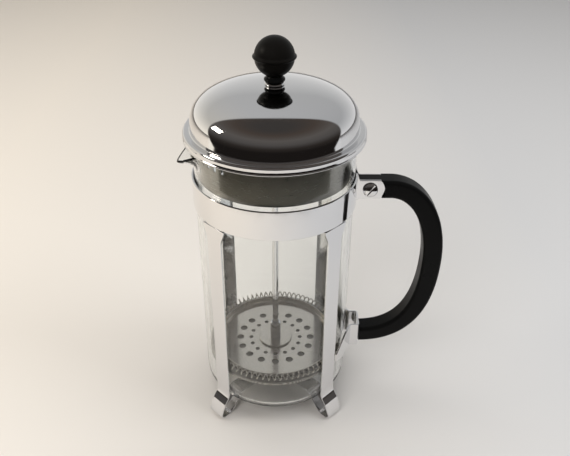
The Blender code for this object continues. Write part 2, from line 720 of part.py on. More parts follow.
def make_bushes():
    """The two guides that the rod slides in: one in the bridge, one at the top of the dome."""
    bore = ROD_R + SLIDE_PLAY
    seat = BRIDGE_Z + BRIDGE_THICK / 2 + GAP
    guide = [
        (BUSH_FLANGE_R, seat + 1.2 * MM),
        (BUSH_FLANGE_R, seat),
        (BUSH_R, seat),
        (BUSH_R, seat - 5 * MM),
        (bore, seat - 5 * MM),
        (bore, seat + 1.2 * MM),
    ]
    smooth(turned("rod_guide", guide, "brass", SMALL_STEPS))
    top = DOME_APEX_Z + GAP
    dome_bush = [
        (BUSH_FLANGE_R - 0.4 * MM, top + 1.1 * MM),
        (BUSH_FLANGE_R, top + 0.7 * MM),
        (BUSH_FLANGE_R, top),
        (BUSH_R, top),
        (BUSH_R, top - 4 * MM),
        (bore, top - 4 * MM),
        (bore, top + 1.1 * MM),
    ]
    smooth(turned("dome_bush", dome_bush, "chrome", SMALL_STEPS))


# Plunger


def make_knob():
    """The round knob with its raised belt, its threaded insert and the collar under it."""
    socket_r = ROD_R + BOLT_PLAY + INSERT_WALL + GAP
    socket_top = KNOB_Z + 3 * MM
    belt = KNOB_RIM_H / 2
    lift = math.asin((belt + 0.4 * MM) / KNOB_R)
    neck_turn = math.asin((KNOB_NECK_R + 0.8 * MM) / KNOB_R)
    profile = arc((0, KNOB_Z), KNOB_R, math.pi / 2, lift, 6)
    profile += [(KNOB_RIM_R, KNOB_Z + belt), (KNOB_RIM_R, KNOB_Z - belt)]
    profile += arc((0, KNOB_Z), KNOB_R, -lift, -(math.pi / 2 - neck_turn), 5)
    profile += [(KNOB_NECK_R, NECK_Z + 0.8 * MM), (KNOB_NECK_R, NECK_Z), (socket_r, NECK_Z)]
    profile += [(socket_r, socket_top), (0, socket_top + 1 * MM)]
    smooth(turned("knob", profile, "matte_black", 32, closed=False))
    bore = ROD_R + BOLT_PLAY
    outer = bore + INSERT_WALL
    insert = [(outer, KNOB_Z + 2 * MM), (outer, NECK_Z + GAP), (bore, NECK_Z + GAP), (bore, KNOB_Z + 2 * MM)]
    smooth(turned("knob_insert", insert, "brass", SMALL_STEPS))
    base = COLLAR_Z
    collar = [
        (KNOB_NECK_R, base + COLLAR_H),
        (KNOB_NECK_R + 0.2 * MM, base + 0.8 * COLLAR_H),
        (COLLAR_R, base + 0.5 * COLLAR_H),
        (COLLAR_R, base + 0.25 * COLLAR_H),
        (BUSH_FLANGE_R - 0.4 * MM, base),
        (bore, base),
        (bore, base + COLLAR_H),
    ]
    smooth(turned("knob_collar", collar, "gloss_black", SMALL_STEPS))


def make_rod():
    """The plunger's rod, from inside the knob to the nut under the filter."""
    top = KNOB_Z
    low = filter_nut_z() + 0.5 * MM
    chamfer = 0.5 * MM
    profile = [
        (0, top),
        (ROD_R - chamfer, top),
        (ROD_R, top - chamfer),
        (ROD_R, low + chamfer),
        (ROD_R - chamfer, low),
        (0, low),
    ]
    smooth(turned("plunger_rod", profile, "chrome", SMALL_STEPS, closed=False))


def make_ferrule():
    """The sleeve on the rod's lower end, and the wide washer that presses the filter down."""
    bore = ROD_R + BOLT_PLAY
    base = PLATE_Z + GAP
    washer = [
        (WASHER_R - 0.3 * MM, base + WASHER_H),
        (WASHER_R, base + WASHER_H - 0.3 * MM),
        (WASHER_R, base),
        (bore, base),
        (bore, base + WASHER_H),
    ]
    smooth(turned("pressure_washer", washer, "chrome", 36))
    foot = base + WASHER_H + GAP
    ferrule = [
        (FERRULE_R - 0.8 * MM, foot + FERRULE_H),
        (FERRULE_R, foot + FERRULE_H - 0.8 * MM),
        (FERRULE_R, foot),
        (bore, foot),
        (bore, foot + FERRULE_H),
    ]
    smooth(turned("rod_ferrule", ferrule, "chrome", SMALL_STEPS))


# Filter


def make_plate():
    """The perforated pressing plate with its turned-up rim."""
    low = PLATE_Z - PLATE_SHEET
    top = PLATE_Z + PLATE_RIM_H
    inner = PLATE_R - PLATE_SHEET
    bore = ROD_R + BOLT_PLAY
    profile = [(PLATE_R, top), (PLATE_R, low), (bore, low), (bore, PLATE_Z), (inner, PLATE_Z), (inner, top)]
    plate = turned("filter_plate", profile, "chrome")
    holes = []
    for count, radius, hole_r in (OUTER_HOLES, INNER_HOLES):
        for i in range(count):
            angle = 2 * math.pi * i / count
            centre = (radius * math.cos(angle), radius * math.sin(angle))
            holes.append(arc(centre, hole_r, angle + 0.1, angle + 0.1 + 2 * math.pi, 11)[:-1])
    boolean(plate, extruded("plate_hole_cutter", holes, 4 * PLATE_SHEET, at=(0, 0, PLATE_Z), cutter=True))
    smooth(plate)


def make_coil():
    """The wire coil that runs round the filter and wipes the glass: one closed ring of turns."""
    points_per_turn = 6
    curve = bpy.data.curves.new("coil_spring", "CURVE")
    curve.dimensions = "3D"
    curve.bevel_depth = COIL_WIRE_R
    curve.bevel_resolution = 0
    spline = curve.splines.new("POLY")
    count = COIL_TURNS * points_per_turn
    spline.points.add(count - 1)
    for i, point in enumerate(spline.points):
        around = 2 * math.pi * i / count
        wind = 2 * math.pi * i / points_per_turn
        radius = COIL_R + COIL_TUBE_R * math.cos(wind)
        height = COIL_Z + COIL_TUBE_R * math.sin(wind)
        point.co = (radius * math.cos(around), radius * math.sin(around), height, 1.0)
    spline.use_cyclic_u = True
    coil = place(bpy.data.objects.new("coil_spring", curve), "steel")
    smooth(baked(coil))


def make_mesh_filter():
    """The woven filter disc, here as a plain thin disc with a thick rim that carries the coil."""
    top = PLATE_Z - PLATE_SHEET - GAP
    low = top - MESH_THICK
    bore = ROD_R + BOLT_PLAY
    rim_top = COIL_Z - COIL_TUBE_R - COIL_WIRE_R - GAP
    profile = [(MESH_R, rim_top), (MESH_R, low), (bore, low), (bore, top), (MESH_RIM_R, top),
               (MESH_RIM_R, rim_top)]
    smooth(turned("mesh_filter", profile, "steel"))


def cross_plate_z():
    """The cross plate's upper face."""
    return PLATE_Z - PLATE_SHEET - GAP - MESH_THICK - GAP


def make_cross_plate():
    """The open plate under the woven disc, with windows between its spokes."""
    top = cross_plate_z()
    bore = ROD_R + BOLT_PLAY
    hub_r = 10 * MM
    rim_w = 4 * MM
    outlines = [arc((0, 0), CROSS_R, 0, 2 * math.pi, 49)[:-1], arc((0, 0), bore, 0, 2 * math.pi, 17)[:-1]]
    for i in range(CROSS_WINDOWS):
        middle = 2 * math.pi * (i + 0.5) / CROSS_WINDOWS
        outer = math.pi / CROSS_WINDOWS - math.asin(CROSS_RIB / 2 / (CROSS_R - rim_w))
        inner = math.pi / CROSS_WINDOWS - math.asin(CROSS_RIB / 2 / hub_r)
        window = arc((0, 0), CROSS_R - rim_w, middle - outer, middle + outer, 7)
        window += arc((0, 0), hub_r, middle + inner, middle - inner, 3)
        outlines.append(window)
    cross = extruded("cross_plate", outlines, CROSS_THICK, "steel", at=(0, 0, top - CROSS_THICK / 2))
    smooth(cross)


def filter_nut_z():
    """The underside of the nut that holds the filter together."""
    return cross_plate_z() - CROSS_THICK - GAP - FILTER_NUT_H


def make_filter_nut():
    """The hexagon nut on the rod's thread."""
    nut = make_nut("filter_nut", FILTER_NUT_ACROSS, FILTER_NUT_H, ROD_R + BOLT_PLAY, "steel")
    nut.matrix_local = Matrix.Translation((0, 0, filter_nut_z() + FILTER_NUT_H / 2))


UPRIGHT = Matrix.Rotation(math.pi / 2, 4, "X")  # lays a flat outline's Y along Z

clear_scene()
FINISH = make_materials()
PARTS = new_collection("french_press")
CUTTERS = new_collection("cutters")
AXIS = bpy.data.objects.new("beaker_axis", None)
AXIS.location = (AXIS_X, 0, 0)
PARTS.objects.link(AXIS)

make_beaker()
make_band()
make_leg_strip("leg_strip_left", LEG_ANGLES["front"], 0.0)
make_leg_strip("leg_strip_right", LEG_ANGLES["rear"], JOGGLE)
make_leg_rivet()
make_handle()
make_clamp()
make_strap()
make_end_screw()
make_dome()
make_liner()
make_bridge()
make_bushes()
make_knob()
make_rod()
make_ferrule()
make_plate()
make_coil()
make_mesh_filter()
make_cross_plate()
make_filter_nut()
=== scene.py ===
"""The looks of a French press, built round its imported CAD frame: glass, chrome and black plastic.

Every piece is made again here with fine, rounded shapes on the CAD's own sizes, in metres, about the
beaker's axis, and then moved to where that axis stands in the frame.
"""

import json
import math

import bmesh
import bpy
from mathutils import Matrix, Vector
from mathutils.geometry import interpolate_bezier

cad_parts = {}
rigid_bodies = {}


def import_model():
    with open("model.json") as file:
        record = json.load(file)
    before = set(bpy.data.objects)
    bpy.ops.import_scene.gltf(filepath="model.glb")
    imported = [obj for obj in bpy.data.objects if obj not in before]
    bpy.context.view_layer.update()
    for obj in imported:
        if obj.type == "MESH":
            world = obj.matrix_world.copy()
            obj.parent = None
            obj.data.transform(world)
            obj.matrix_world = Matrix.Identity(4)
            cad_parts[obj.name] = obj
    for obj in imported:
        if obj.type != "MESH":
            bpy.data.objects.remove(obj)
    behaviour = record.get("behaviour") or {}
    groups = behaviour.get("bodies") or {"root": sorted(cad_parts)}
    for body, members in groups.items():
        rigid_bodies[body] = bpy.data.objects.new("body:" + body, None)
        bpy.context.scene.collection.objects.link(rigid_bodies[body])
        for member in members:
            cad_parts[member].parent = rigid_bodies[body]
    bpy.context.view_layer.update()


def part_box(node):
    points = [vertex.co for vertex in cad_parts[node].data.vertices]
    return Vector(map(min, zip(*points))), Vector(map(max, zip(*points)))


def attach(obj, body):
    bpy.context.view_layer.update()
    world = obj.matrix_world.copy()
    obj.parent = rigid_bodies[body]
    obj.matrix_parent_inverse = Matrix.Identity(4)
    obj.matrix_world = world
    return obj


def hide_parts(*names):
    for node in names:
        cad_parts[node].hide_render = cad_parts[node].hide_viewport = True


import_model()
CAD_NAMES = {item.name for item in bpy.context.scene.objects}

MM = 0.001
FULL = 2 * math.pi
SPOUT_ANGLE = math.radians(-156.0)
LEG_ANGLES = {"leg_strip_left": math.radians(-135.0), "leg_strip_right": math.radians(-45.0)}


def middle(node):
    """The middle of a CAD node's box."""
    low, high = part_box(node)
    return (low + high) / 2


AXIS = Vector((middle("plunger_rod").x, middle("plunger_rod").y, 0))
UPRIGHT = Matrix.Rotation(math.pi / 2, 4, "X")
EDGE = 0.25 * MM

# Sizes that several pieces share
GLASS_R = 48.0 * MM
RIM_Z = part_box("beaker")[1].z
BAND_R = 49.6 * MM
STRIP_THICK = 1.2 * MM
LEG_R = BAND_R - STRIP_THICK / 2
LEG_W = 11.7 * MM
EAR_Z = 156.5 * MM
BORE_R = 2.35 * MM  # holes that the rod is fixed in
SLIDE_R = 2.3 * MM  # holes that the rod slides in
BUSH_R = 3.6 * MM


# Materials


def new_material(name, colour, roughness, metallic=0.0):
    """A Principled material, its nodes and its shader."""
    material = bpy.data.materials.new(name)
    material.use_nodes = True
    nodes = material.node_tree.nodes
    shader = nodes["Principled BSDF"]
    shader.inputs["Base Color"].default_value = (*colour, 1.0)
    shader.inputs["Roughness"].default_value = roughness
    shader.inputs["Metallic"].default_value = metallic
    return material, nodes, material.node_tree.links, shader


def noise(nodes, links, scale, detail=2.0, vector=None):
    """A noise texture's value over the object's own coordinates."""
    texture = nodes.new("ShaderNodeTexNoise")
    texture.inputs["Scale"].default_value = scale
    texture.inputs["Detail"].default_value = detail
    if vector is None:
        vector = nodes.new("ShaderNodeTexCoord").outputs["Object"]
    links.new(vector, texture.inputs["Vector"])
    return texture.outputs["Fac"]


def spread(nodes, links, value, low, high, start=0.3, end=0.7):
    """A value taken from one range to another."""
    node = nodes.new("ShaderNodeMapRange")
    node.inputs["From Min"].default_value = start
    node.inputs["From Max"].default_value = end
    node.inputs["To Min"].default_value = low
    node.inputs["To Max"].default_value = high
    links.new(value, node.inputs["Value"])
    return node.outputs["Result"]


def bump(nodes, links, shader, height, distance, strength=1.0):
    """Relief on a shader."""
    node = nodes.new("ShaderNodeBump")
    node.inputs["Distance"].default_value = distance
    node.inputs["Strength"].default_value = strength
    links.new(height, node.inputs["Height"])
    links.new(node.outputs["Normal"], shader.inputs["Normal"])


def round_grain(nodes, links, along, across):
    """Coordinates stretched round the beaker's axis, for marks that turning or brushing leaves."""
    place = nodes.new("ShaderNodeTexCoord").outputs["Object"]
    split = nodes.new("ShaderNodeSeparateXYZ")
    links.new(place, split.inputs[0])
    shift = nodes.new("ShaderNodeMath")
    shift.operation = "SUBTRACT"
    shift.inputs[1].default_value = AXIS.x
    links.new(split.outputs["X"], shift.inputs[0])
    turn = nodes.new("ShaderNodeMath")
    turn.operation = "ARCTAN2"
    links.new(split.outputs["Y"], turn.inputs[0])
    links.new(shift.outputs[0], turn.inputs[1])
    flat = nodes.new("ShaderNodeCombineXYZ")
    links.new(shift.outputs[0], flat.inputs["X"])
    links.new(split.outputs["Y"], flat.inputs["Y"])
    length = nodes.new("ShaderNodeVectorMath")
    length.operation = "LENGTH"
    links.new(flat.outputs[0], length.inputs[0])
    scaled = []
    stretched = ((turn.outputs[0], along), (length.outputs["Value"], across), (split.outputs["Z"], across))
    for value, factor in stretched:
        node = nodes.new("ShaderNodeMath")
        node.operation = "MULTIPLY"
        node.inputs[1].default_value = factor
        links.new(value, node.inputs[0])
        scaled.append(node.outputs[0])
    out = nodes.new("ShaderNodeCombineXYZ")
    for value, socket in zip(scaled, out.inputs):
        links.new(value, socket)
    return out.outputs[0]


def chrome(name, colour=(0.80, 0.80, 0.81), wave=0.02):
    """Polished plate: faint smears in its gloss and a very slight waviness."""
    material, nodes, links, shader = new_material(name, colour, 0.05, 1.0)
    smear = noise(nodes, links, 90.0, 5.0)
    links.new(spread(nodes, links, smear, 0.03, 0.10), shader.inputs["Roughness"])
    bump(nodes, links, shader, noise(nodes, links, 55.0, 1.0), wave * MM, 1.0)
    return material


def brushed(name, colour, low, high, relief=0.012):
    """Sheet steel with fine marks that run round the axis."""
    material, nodes, links, shader = new_material(name, colour, 0.3, 1.0)
    grain = noise(nodes, links, 1.0, 4.0, round_grain(nodes, links, 9.0, 2600.0))
    links.new(spread(nodes, links, grain, low, high), shader.inputs["Roughness"])
    bump(nodes, links, shader, grain, relief * MM, 0.6)
    return material


def plastic(name, colour, low, high, grain_mm=0.01):
    """Moulded black plastic: fine pebbled skin and uneven gloss from handling."""
    material, nodes, links, shader = new_material(name, colour, 0.4)
    shader.inputs["Specular IOR Level"].default_value = 0.08
    worn = noise(nodes, links, 70.0, 4.0)
    links.new(spread(nodes, links, worn, low, high), shader.inputs["Roughness"])
    bump(nodes, links, shader, noise(nodes, links, 2600.0, 2.0), grain_mm * MM, 0.7)
    return material


def clear_glass(name):
    """Clear glass with the faintest film on it."""
    material, nodes, links, shader = new_material(name, (0.985, 0.995, 0.99), 0.0)
    shader.inputs["Transmission Weight"].default_value = 1.0
    shader.inputs["IOR"].default_value = 1.47
    film = noise(nodes, links, 45.0, 5.0)
    links.new(spread(nodes, links, film, 0.0, 0.035, 0.45, 0.75), shader.inputs["Roughness"])
    return material


def woven(name):
    """Fine woven wire cloth."""
    material, nodes, links, shader = new_material(name, (0.62, 0.60, 0.55), 0.38, 1.0)
    place = nodes.new("ShaderNodeTexCoord").outputs["Object"]
    waves = []
    for direction in ("X", "Y"):
        wave = nodes.new("ShaderNodeTexWave")
        wave.bands_direction = direction
        wave.inputs["Scale"].default_value = 500.0
        links.new(place, wave.inputs["Vector"])
        waves.append(wave.outputs["Fac"])
    cross = nodes.new("ShaderNodeMath")
    cross.operation = "MULTIPLY"
    links.new(waves[0], cross.inputs[0])
    links.new(waves[1], cross.inputs[1])
    ramp = nodes.new("ShaderNodeMix")
    ramp.data_type = "RGBA"
    ramp.inputs[6].default_value = (0.20, 0.19, 0.17, 1)
    ramp.inputs[7].default_value = (0.74, 0.72, 0.67, 1)
    links.new(cross.outputs[0], ramp.inputs[0])
    links.new(ramp.outputs[2], shader.inputs["Base Color"])
    bump(nodes, links, shader, cross.outputs[0], 0.15 * MM, 0.8)
    return material


def brass(name):
    """Plain turned brass."""
    material, nodes, links, shader = new_material(name, (0.72, 0.55, 0.27), 0.3, 1.0)
    grain = noise(nodes, links, 1.0, 3.0, round_grain(nodes, links, 4.0, 2200.0))
    links.new(spread(nodes, links, grain, 0.2, 0.42), shader.inputs["Roughness"])
    return material


FINISH = {
    "chrome": chrome("bright_chrome"),
    "dome": chrome("lid_chrome", (0.78, 0.78, 0.79), 0.006),
    "plate": brushed("pressed_plate_steel", (0.72, 0.68, 0.62), 0.10, 0.22),
    "steel": brushed("brushed_steel", (0.42, 0.41, 0.385), 0.17, 0.26, 0.003),
    "liner": brushed("spun_liner_steel", (0.25, 0.24, 0.21), 0.27, 0.30, 0.0005),
    "wire": brushed("coil_wire_steel", (0.66, 0.63, 0.57), 0.16, 0.34),
    "mesh": woven("woven_wire_cloth"),
    "glass": clear_glass("clear_glass"),
    "matte_black": plastic("satin_black_plastic", (0.0045, 0.0045, 0.0045), 0.26, 0.40),
    "knob_black": plastic("matte_black_plastic", (0.006, 0.0055, 0.005), 0.34, 0.48, 0.014),
    "gloss_black": plastic("polished_black_plastic", (0.006, 0.006, 0.006), 0.08, 0.2, 0.002),
    "brass": brass("turned_brass"),
}


# Shape tools


def piece(name, shape, finish, body, node, local=None, sharp=28.0):
    """Make a mesh from a bmesh, put it in the frame, and let it stand for a CAD node."""
    bmesh.ops.remove_doubles(shape, verts=shape.verts, dist=0.002 * MM)
    bmesh.ops.recalc_face_normals(shape, faces=shape.faces)
    mesh = bpy.data.meshes.new(name)
    shape.to_mesh(mesh)
    shape.free()
    mesh.transform(Matrix.Translation(AXIS) @ (local or Matrix.Identity(4)))
    item = bpy.data.objects.new(name, mesh)
    bpy.context.scene.collection.objects.link(item)
    mesh.materials.append(FINISH[finish])
    mesh.shade_smooth()
    mesh.set_sharp_from_angle(angle=math.radians(sharp))
    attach(item, body)
    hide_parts(node)
    return item


def steady(item):
    """Shading normals that follow the large faces, so that flat faces look flat beside rounded edges."""
    change = item.modifiers.new("steady", "WEIGHTED_NORMAL")
    change.mode = "FACE_AREA"
    change.keep_sharp = True
    bpy.context.view_layer.update()
    made = bpy.data.meshes.new_from_object(item.evaluated_get(bpy.context.evaluated_depsgraph_get()))
    item.modifiers.clear()
    item.data = made


def loft(shape, rings, closed_rings=True, wrap=False, caps=True):
    """Faces between rings of points that all have the same count."""
    made = [[shape.verts.new(point) for point in ring] for ring in rings]
    count = len(rings[0])
    pairs = list(zip(made, made[1:]))
    if wrap:
        pairs.append((made[-1], made[0]))
    for here, there in pairs:
        for i in range(count if closed_rings else count - 1):
            k = (i + 1) % count
            shape.faces.new((here[i], here[k], there[k], there[i]))
    if caps and not wrap:
        shape.faces.new(made[0])
        shape.faces.new(made[-1][::-1])
    return shape


def lathe(profile, steps=160, closed=True, start=0.0):
    """A (radius, height) profile turned about the axis; an open one starts and ends on the axis."""
    shape = bmesh.new()
    angles = [start + FULL * i / steps for i in range(steps)]
    rings = [[(r * math.cos(a), r * math.sin(a), z) for a in angles] for r, z in profile]
    loft(shape, rings, wrap=closed, caps=False)
    bmesh.ops.remove_doubles(shape, verts=shape.verts, dist=0.001 * MM)
    return shape


def arc(centre, radius, start, end, count):
    """Points along an arc, both ends included."""
    step = (end - start) / (count - 1)
    return [(centre[0] + radius * math.cos(start + step * i), centre[1] + radius * math.sin(start + step * i))
            for i in range(count)]


def rounded(path, radii, closed=False, count=5):
    """A flat path with its corners rounded, by one radius or one for each point."""
    size = len(path)
    if not isinstance(radii, (list, tuple)):
        radii = [radii] * size
    points = []
    for i, here in enumerate(path):
        if not closed and i in (0, size - 1):
            points.append(tuple(here))
            continue
        here = Vector(here)
        before, after = Vector(path[i - 1]), Vector(path[(i + 1) % size])
        into, out = (here - before), (after - here)
        room = 0.49 * min(into.length, out.length)
        into.normalize()
        out.normalize()
        bend = into.angle(out)
        reach = min(radii[i] * math.tan(bend / 2), room)
        if bend < 0.01 or radii[i] <= 0:
            points.append(tuple(here))
            continue
        radius = reach / math.tan(bend / 2)
        left = 1.0 if into.cross(out) > 0 else -1.0
        centre = here - into * reach + Vector((-into.y, into.x)) * radius * left
        first = here - into * reach - centre
        for k in range(count):
            points.append(tuple(centre + Matrix.Rotation(left * bend * k / (count - 1), 2) @ first))
    return points


def frames(path):
    """A point and the sideways direction at each point of a flat path."""
    found = []
    points = [Vector(point) for point in path]
    for i, point in enumerate(points):
        into = (point - points[max(i - 1, 0)]).normalized()
        out = (points[min(i + 1, len(points) - 1)] - point).normalized()
        along = (into + out).normalized()
        side = Vector((-along.y, along.x))
        stretch = 1.0 / max(side.dot(Vector((-out.y, out.x))), 0.5) if out.length and into.length else 1.0
        found.append((point, side * stretch))
    return found


def strip(path, thick, lows, highs, edge=EDGE):
    """A flat strip along a path: its section, with rounded edges, runs between a low and a high side."""
    shape = bmesh.new()
    rings = []
    half = thick / 2
    for (point, side), low, high in zip(frames(path), lows, highs):
        edge_here = min(edge, 0.45 * (high - low), 0.9 * half)
        section = rounded([(-half, low), (half, low), (half, high), (-half, high)], edge_here, True, 4)
        rings.append([(point.x + side.x * u, point.y + side.y * u, v) for u, v in section])
    return loft(shape, rings)


def even(path, step):
    """The same path with points no further apart than a step."""
    points = [Vector(path[0])]
    for here, there in zip(path, path[1:]):
        here, there = Vector(here), Vector(there)
        parts = max(1, math.ceil((there - here).length / step))
        points += [here.lerp(there, i / parts) for i in range(1, parts + 1)]
    return [tuple(point) for point in points]


def eased(value):
    """A smooth 0 to 1."""
    value = min(max(value, 0.0), 1.0)
    return value * value * (3 - 2 * value)


def cut(item, outlines, thickness, local):
    """Cut straight-sided holes, drawn as flat outlines, out of a piece."""
    shape = bmesh.new()
    for outline in outlines:
        rings = [[(x, y, side * thickness / 2) for x, y in outline] for side in (-1, 1)]
        loft(shape, rings)
    bmesh.ops.recalc_face_normals(shape, faces=shape.faces)
    mesh = bpy.data.meshes.new("cutter")
    shape.to_mesh(mesh)
    shape.free()
    mesh.transform(Matrix.Translation(AXIS) @ local)
    tool = bpy.data.objects.new("cutter", mesh)
    bpy.context.scene.collection.objects.link(tool)
    change = item.modifiers.new("cut", "BOOLEAN")
    change.operation = "DIFFERENCE"
    change.solver = "EXACT"
    change.object = tool
    bpy.context.view_layer.update()
    made = bpy.data.meshes.new_from_object(item.evaluated_get(bpy.context.evaluated_depsgraph_get()))
    item.modifiers.clear()
    item.data = made
    bpy.data.objects.remove(tool)
    made.shade_smooth()
    made.set_sharp_from_angle(angle=math.radians(28))


def circle(x, y, radius, count=28, phase=0.05):
    """The outline of a round hole."""
    return [(x + radius * math.cos(phase + FULL * i / count), y + radius * math.sin(phase + FULL * i / count))
            for i in range(count)]


def domed(radius, rise, crown, count=9):
    """Half the outline of a domed head, from its crown on the axis out to its edge."""
    angles = [math.pi / 2 * i / (count - 1) for i in range(count)]
    return [(radius * math.sin(a), crown + rise * (1 - math.cos(a))) for a in angles]


# Glass beaker


def make_beaker():
    """The beaker, with a fire-polished rim, a poured lip and a thick rounded heel."""
    outer, wall = GLASS_R, 1.8 * MM
    inner = outer - wall
    low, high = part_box("beaker")
    base, rim = low.z, high.z
    lip_z, lip_reach, lip_drop, lip_width = 172.5 * MM, 12.0 * MM, 7.0 * MM, math.radians(9.0)
    heel = 6.5 * MM
    floor = base + 2.5 * MM
    heights = [floor + heel - wall + (lip_z - floor - heel + wall) * i / 8 for i in range(8)]
    heights += [lip_z + (rim - wall / 2 - lip_z) * i / 22 for i in range(23)]
    profile = [(0, floor), (20 * MM, floor - 0.3 * MM), (34 * MM, floor - 0.2 * MM)]
    profile += arc((inner - heel + wall, floor + heel - wall), heel - wall, -math.pi / 2, 0, 9)[:-1]
    profile += [(inner, z) for z in heights]
    profile += arc((outer - wall / 2, rim - wall / 2), wall / 2, math.pi, 0, 9)[1:-1]
    profile += [(outer, z) for z in reversed(heights[1:])]
    profile += arc((outer - heel, base + heel), heel, 0, -math.pi / 2, 12)
    profile += [(38 * MM, base), (33 * MM, base + 0.5 * MM), (20 * MM, base + 0.9 * MM), (0, base + 1.0 * MM)]
    shape = lathe(profile, 240, False, SPOUT_ANGLE)
    centre = outer - wall / 2
    for vertex in shape.verts:
        radius = math.hypot(vertex.co.x, vertex.co.y)
        if vertex.co.z <= lip_z or radius < outer / 2:
            continue
        angle = math.atan2(vertex.co.y, vertex.co.x)
        away = abs((angle - SPOUT_ANGLE + math.pi) % FULL - math.pi)
        weight = math.exp(-((away / lip_width) ** 1.6))
        tall = rim - lip_z
        share = (vertex.co.z - lip_z) / tall
        out = centre + lip_reach * weight * share**3
        up = lip_z + tall * share - lip_drop * weight * share**2
        tangent = Vector((3 * lip_reach * weight * share**2, tall - 2 * lip_drop * weight * share))
        tangent.normalize()
        off = radius - centre
        out += off * tangent.y
        up -= off * tangent.x
        vertex.co = (out * math.cos(angle), out * math.sin(angle), up)
    piece("glass_beaker", shape, "glass", "beaker", "beaker", sharp=60)


# Frame


def make_band():
    """The split band: polished strip with rolled edges, its ends turned out as round-ended ears."""
    low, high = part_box("frame_band")
    ear_y = 3.9 * MM
    half, end_r, reach = 6.3 * MM, 9.0 * MM, 66.2 * MM
    root = 50.4 * MM
    start = math.asin(ear_y / LEG_R)
    ring = arc((0, 0), LEG_R, start, FULL - start, 200)
    swing = math.asin(half / end_r)
    ends = [(x, max(y, 0.25 * MM)) for x, y in arc((reach - end_r, 0), end_r, 0, swing, 11)]
    flat = [(root + 1.2 * MM, half), (root + 0.5 * MM, half + 0.3 * MM), (root, half + 1.2 * MM)]
    stations = ends + flat
    path = [(x, ear_y) for x, _ in stations] + ring + [(x, -ear_y) for x, _ in reversed(stations)]
    ear_lows = [max(EAR_Z - tall, low.z) for _, tall in stations]
    ear_highs = [min(EAR_Z + tall, high.z) for _, tall in stations]
    lows = ear_lows + [low.z] * len(ring) + ear_lows[::-1]
    highs = ear_highs + [high.z] * len(ring) + ear_highs[::-1]
    piece("band_with_ears", strip(path, STRIP_THICK, lows, highs, 0.35 * MM), "chrome", "frame", "frame_band")


def make_leg(node, dip):
    """One strip: two flat legs with wide shoulders and rolled feet, joined under the beaker."""
    shoulder_h, shoulder = 10.0 * MM, 3.0 * MM
    half = STRIP_THICK / 2
    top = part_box(node)[1].z + 0.2 * MM
    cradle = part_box("beaker")[0].z - 0.3 * MM - half
    knee, instep, toe = (LEG_R, 16.5 * MM), (53.0 * MM, 11.6 * MM), (58.0 * MM, half)
    side = [(LEG_R, top), knee, instep, toe, (48.5 * MM, half), (37.0 * MM, cradle)]
    radii = [0, 8 * MM, 1.2 * MM, 2.8 * MM, 4 * MM, 4 * MM]
    if dip:
        side += [(16 * MM, cradle), (12 * MM, cradle - dip)]
        radii += [3 * MM, 3 * MM]
    path = side + [(-s, z) for s, z in reversed(side)]
    path = even(rounded(path, radii + radii[::-1], False, 9), 1.2 * MM)
    halves = []
    for s, z in path:
        upright = abs(abs(s) - LEG_R) < 0.1 * MM
        flare = shoulder * (1 - eased((top - z) / shoulder_h)) if upright else 0.0
        halves.append(LEG_W / 2 + flare)
    turn = Matrix.Rotation(LEG_ANGLES[node], 4, "Z") @ UPRIGHT
    shape = strip(path, STRIP_THICK, [-wide for wide in halves], halves, 0.3 * MM)
    piece(node + "_chromed", shape, "chrome", "frame", node, turn)


def make_rivet():
    """The domed rivet under the crossing of the strips."""
    low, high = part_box("leg_rivet")
    radius, head_h = 3.0 * MM, 1.3 * MM
    profile = domed(radius, head_h, low.z)
    profile += [(radius / 2, low.z + head_h + 0.05 * MM), (radius / 2, high.z), (0, high.z)]
    piece("strip_rivet", lathe(profile, 48, False), "steel", "frame", "leg_rivet")


def make_strap():
    """The lower strap, bent round the end of the handle, its arms tapering to the legs' side edges."""
    half = STRIP_THICK / 2
    low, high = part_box("handle_strap")
    low, high = low - AXIS, high - AXIS
    out_x = high.x - half
    side_y = 7.7 * MM - half
    box_x = high.x - 6.4 * MM
    outward, sideways = LEG_R + 1.1 * MM, LEG_W / 2 + 0.6 * MM
    leg_x = (outward + sideways) * math.sqrt(0.5)
    leg_y = (outward - sideways) * math.sqrt(0.5)
    side = [(leg_x, -leg_y), (box_x, -side_y), (out_x, -side_y)]
    path = side + [(x, -y) for x, y in reversed(side)]
    path = even(rounded(path, [0, 2 * MM, 1.4 * MM, 1.4 * MM, 2 * MM, 0], False, 9), 1.0 * MM)
    arm = [min(max((abs(y) - side_y) / (leg_y - side_y), 0.0), 1.0) for _, y in path]
    lower_start, lower_rise = 0.52, 6.4 * MM
    upper_start, upper_fall = 0.29, 5.7 * MM
    lows = [low.z + lower_rise * max(share - lower_start, 0.0) / (1 - lower_start) for share in arm]
    highs = [high.z - upper_fall * max(share - upper_start, 0.0) / (1 - upper_start) for share in arm]
    shape = strip(path, STRIP_THICK, lows, highs, 0.3 * MM)
    piece("handle_end_strap", shape, "chrome", "frame", "handle_strap")


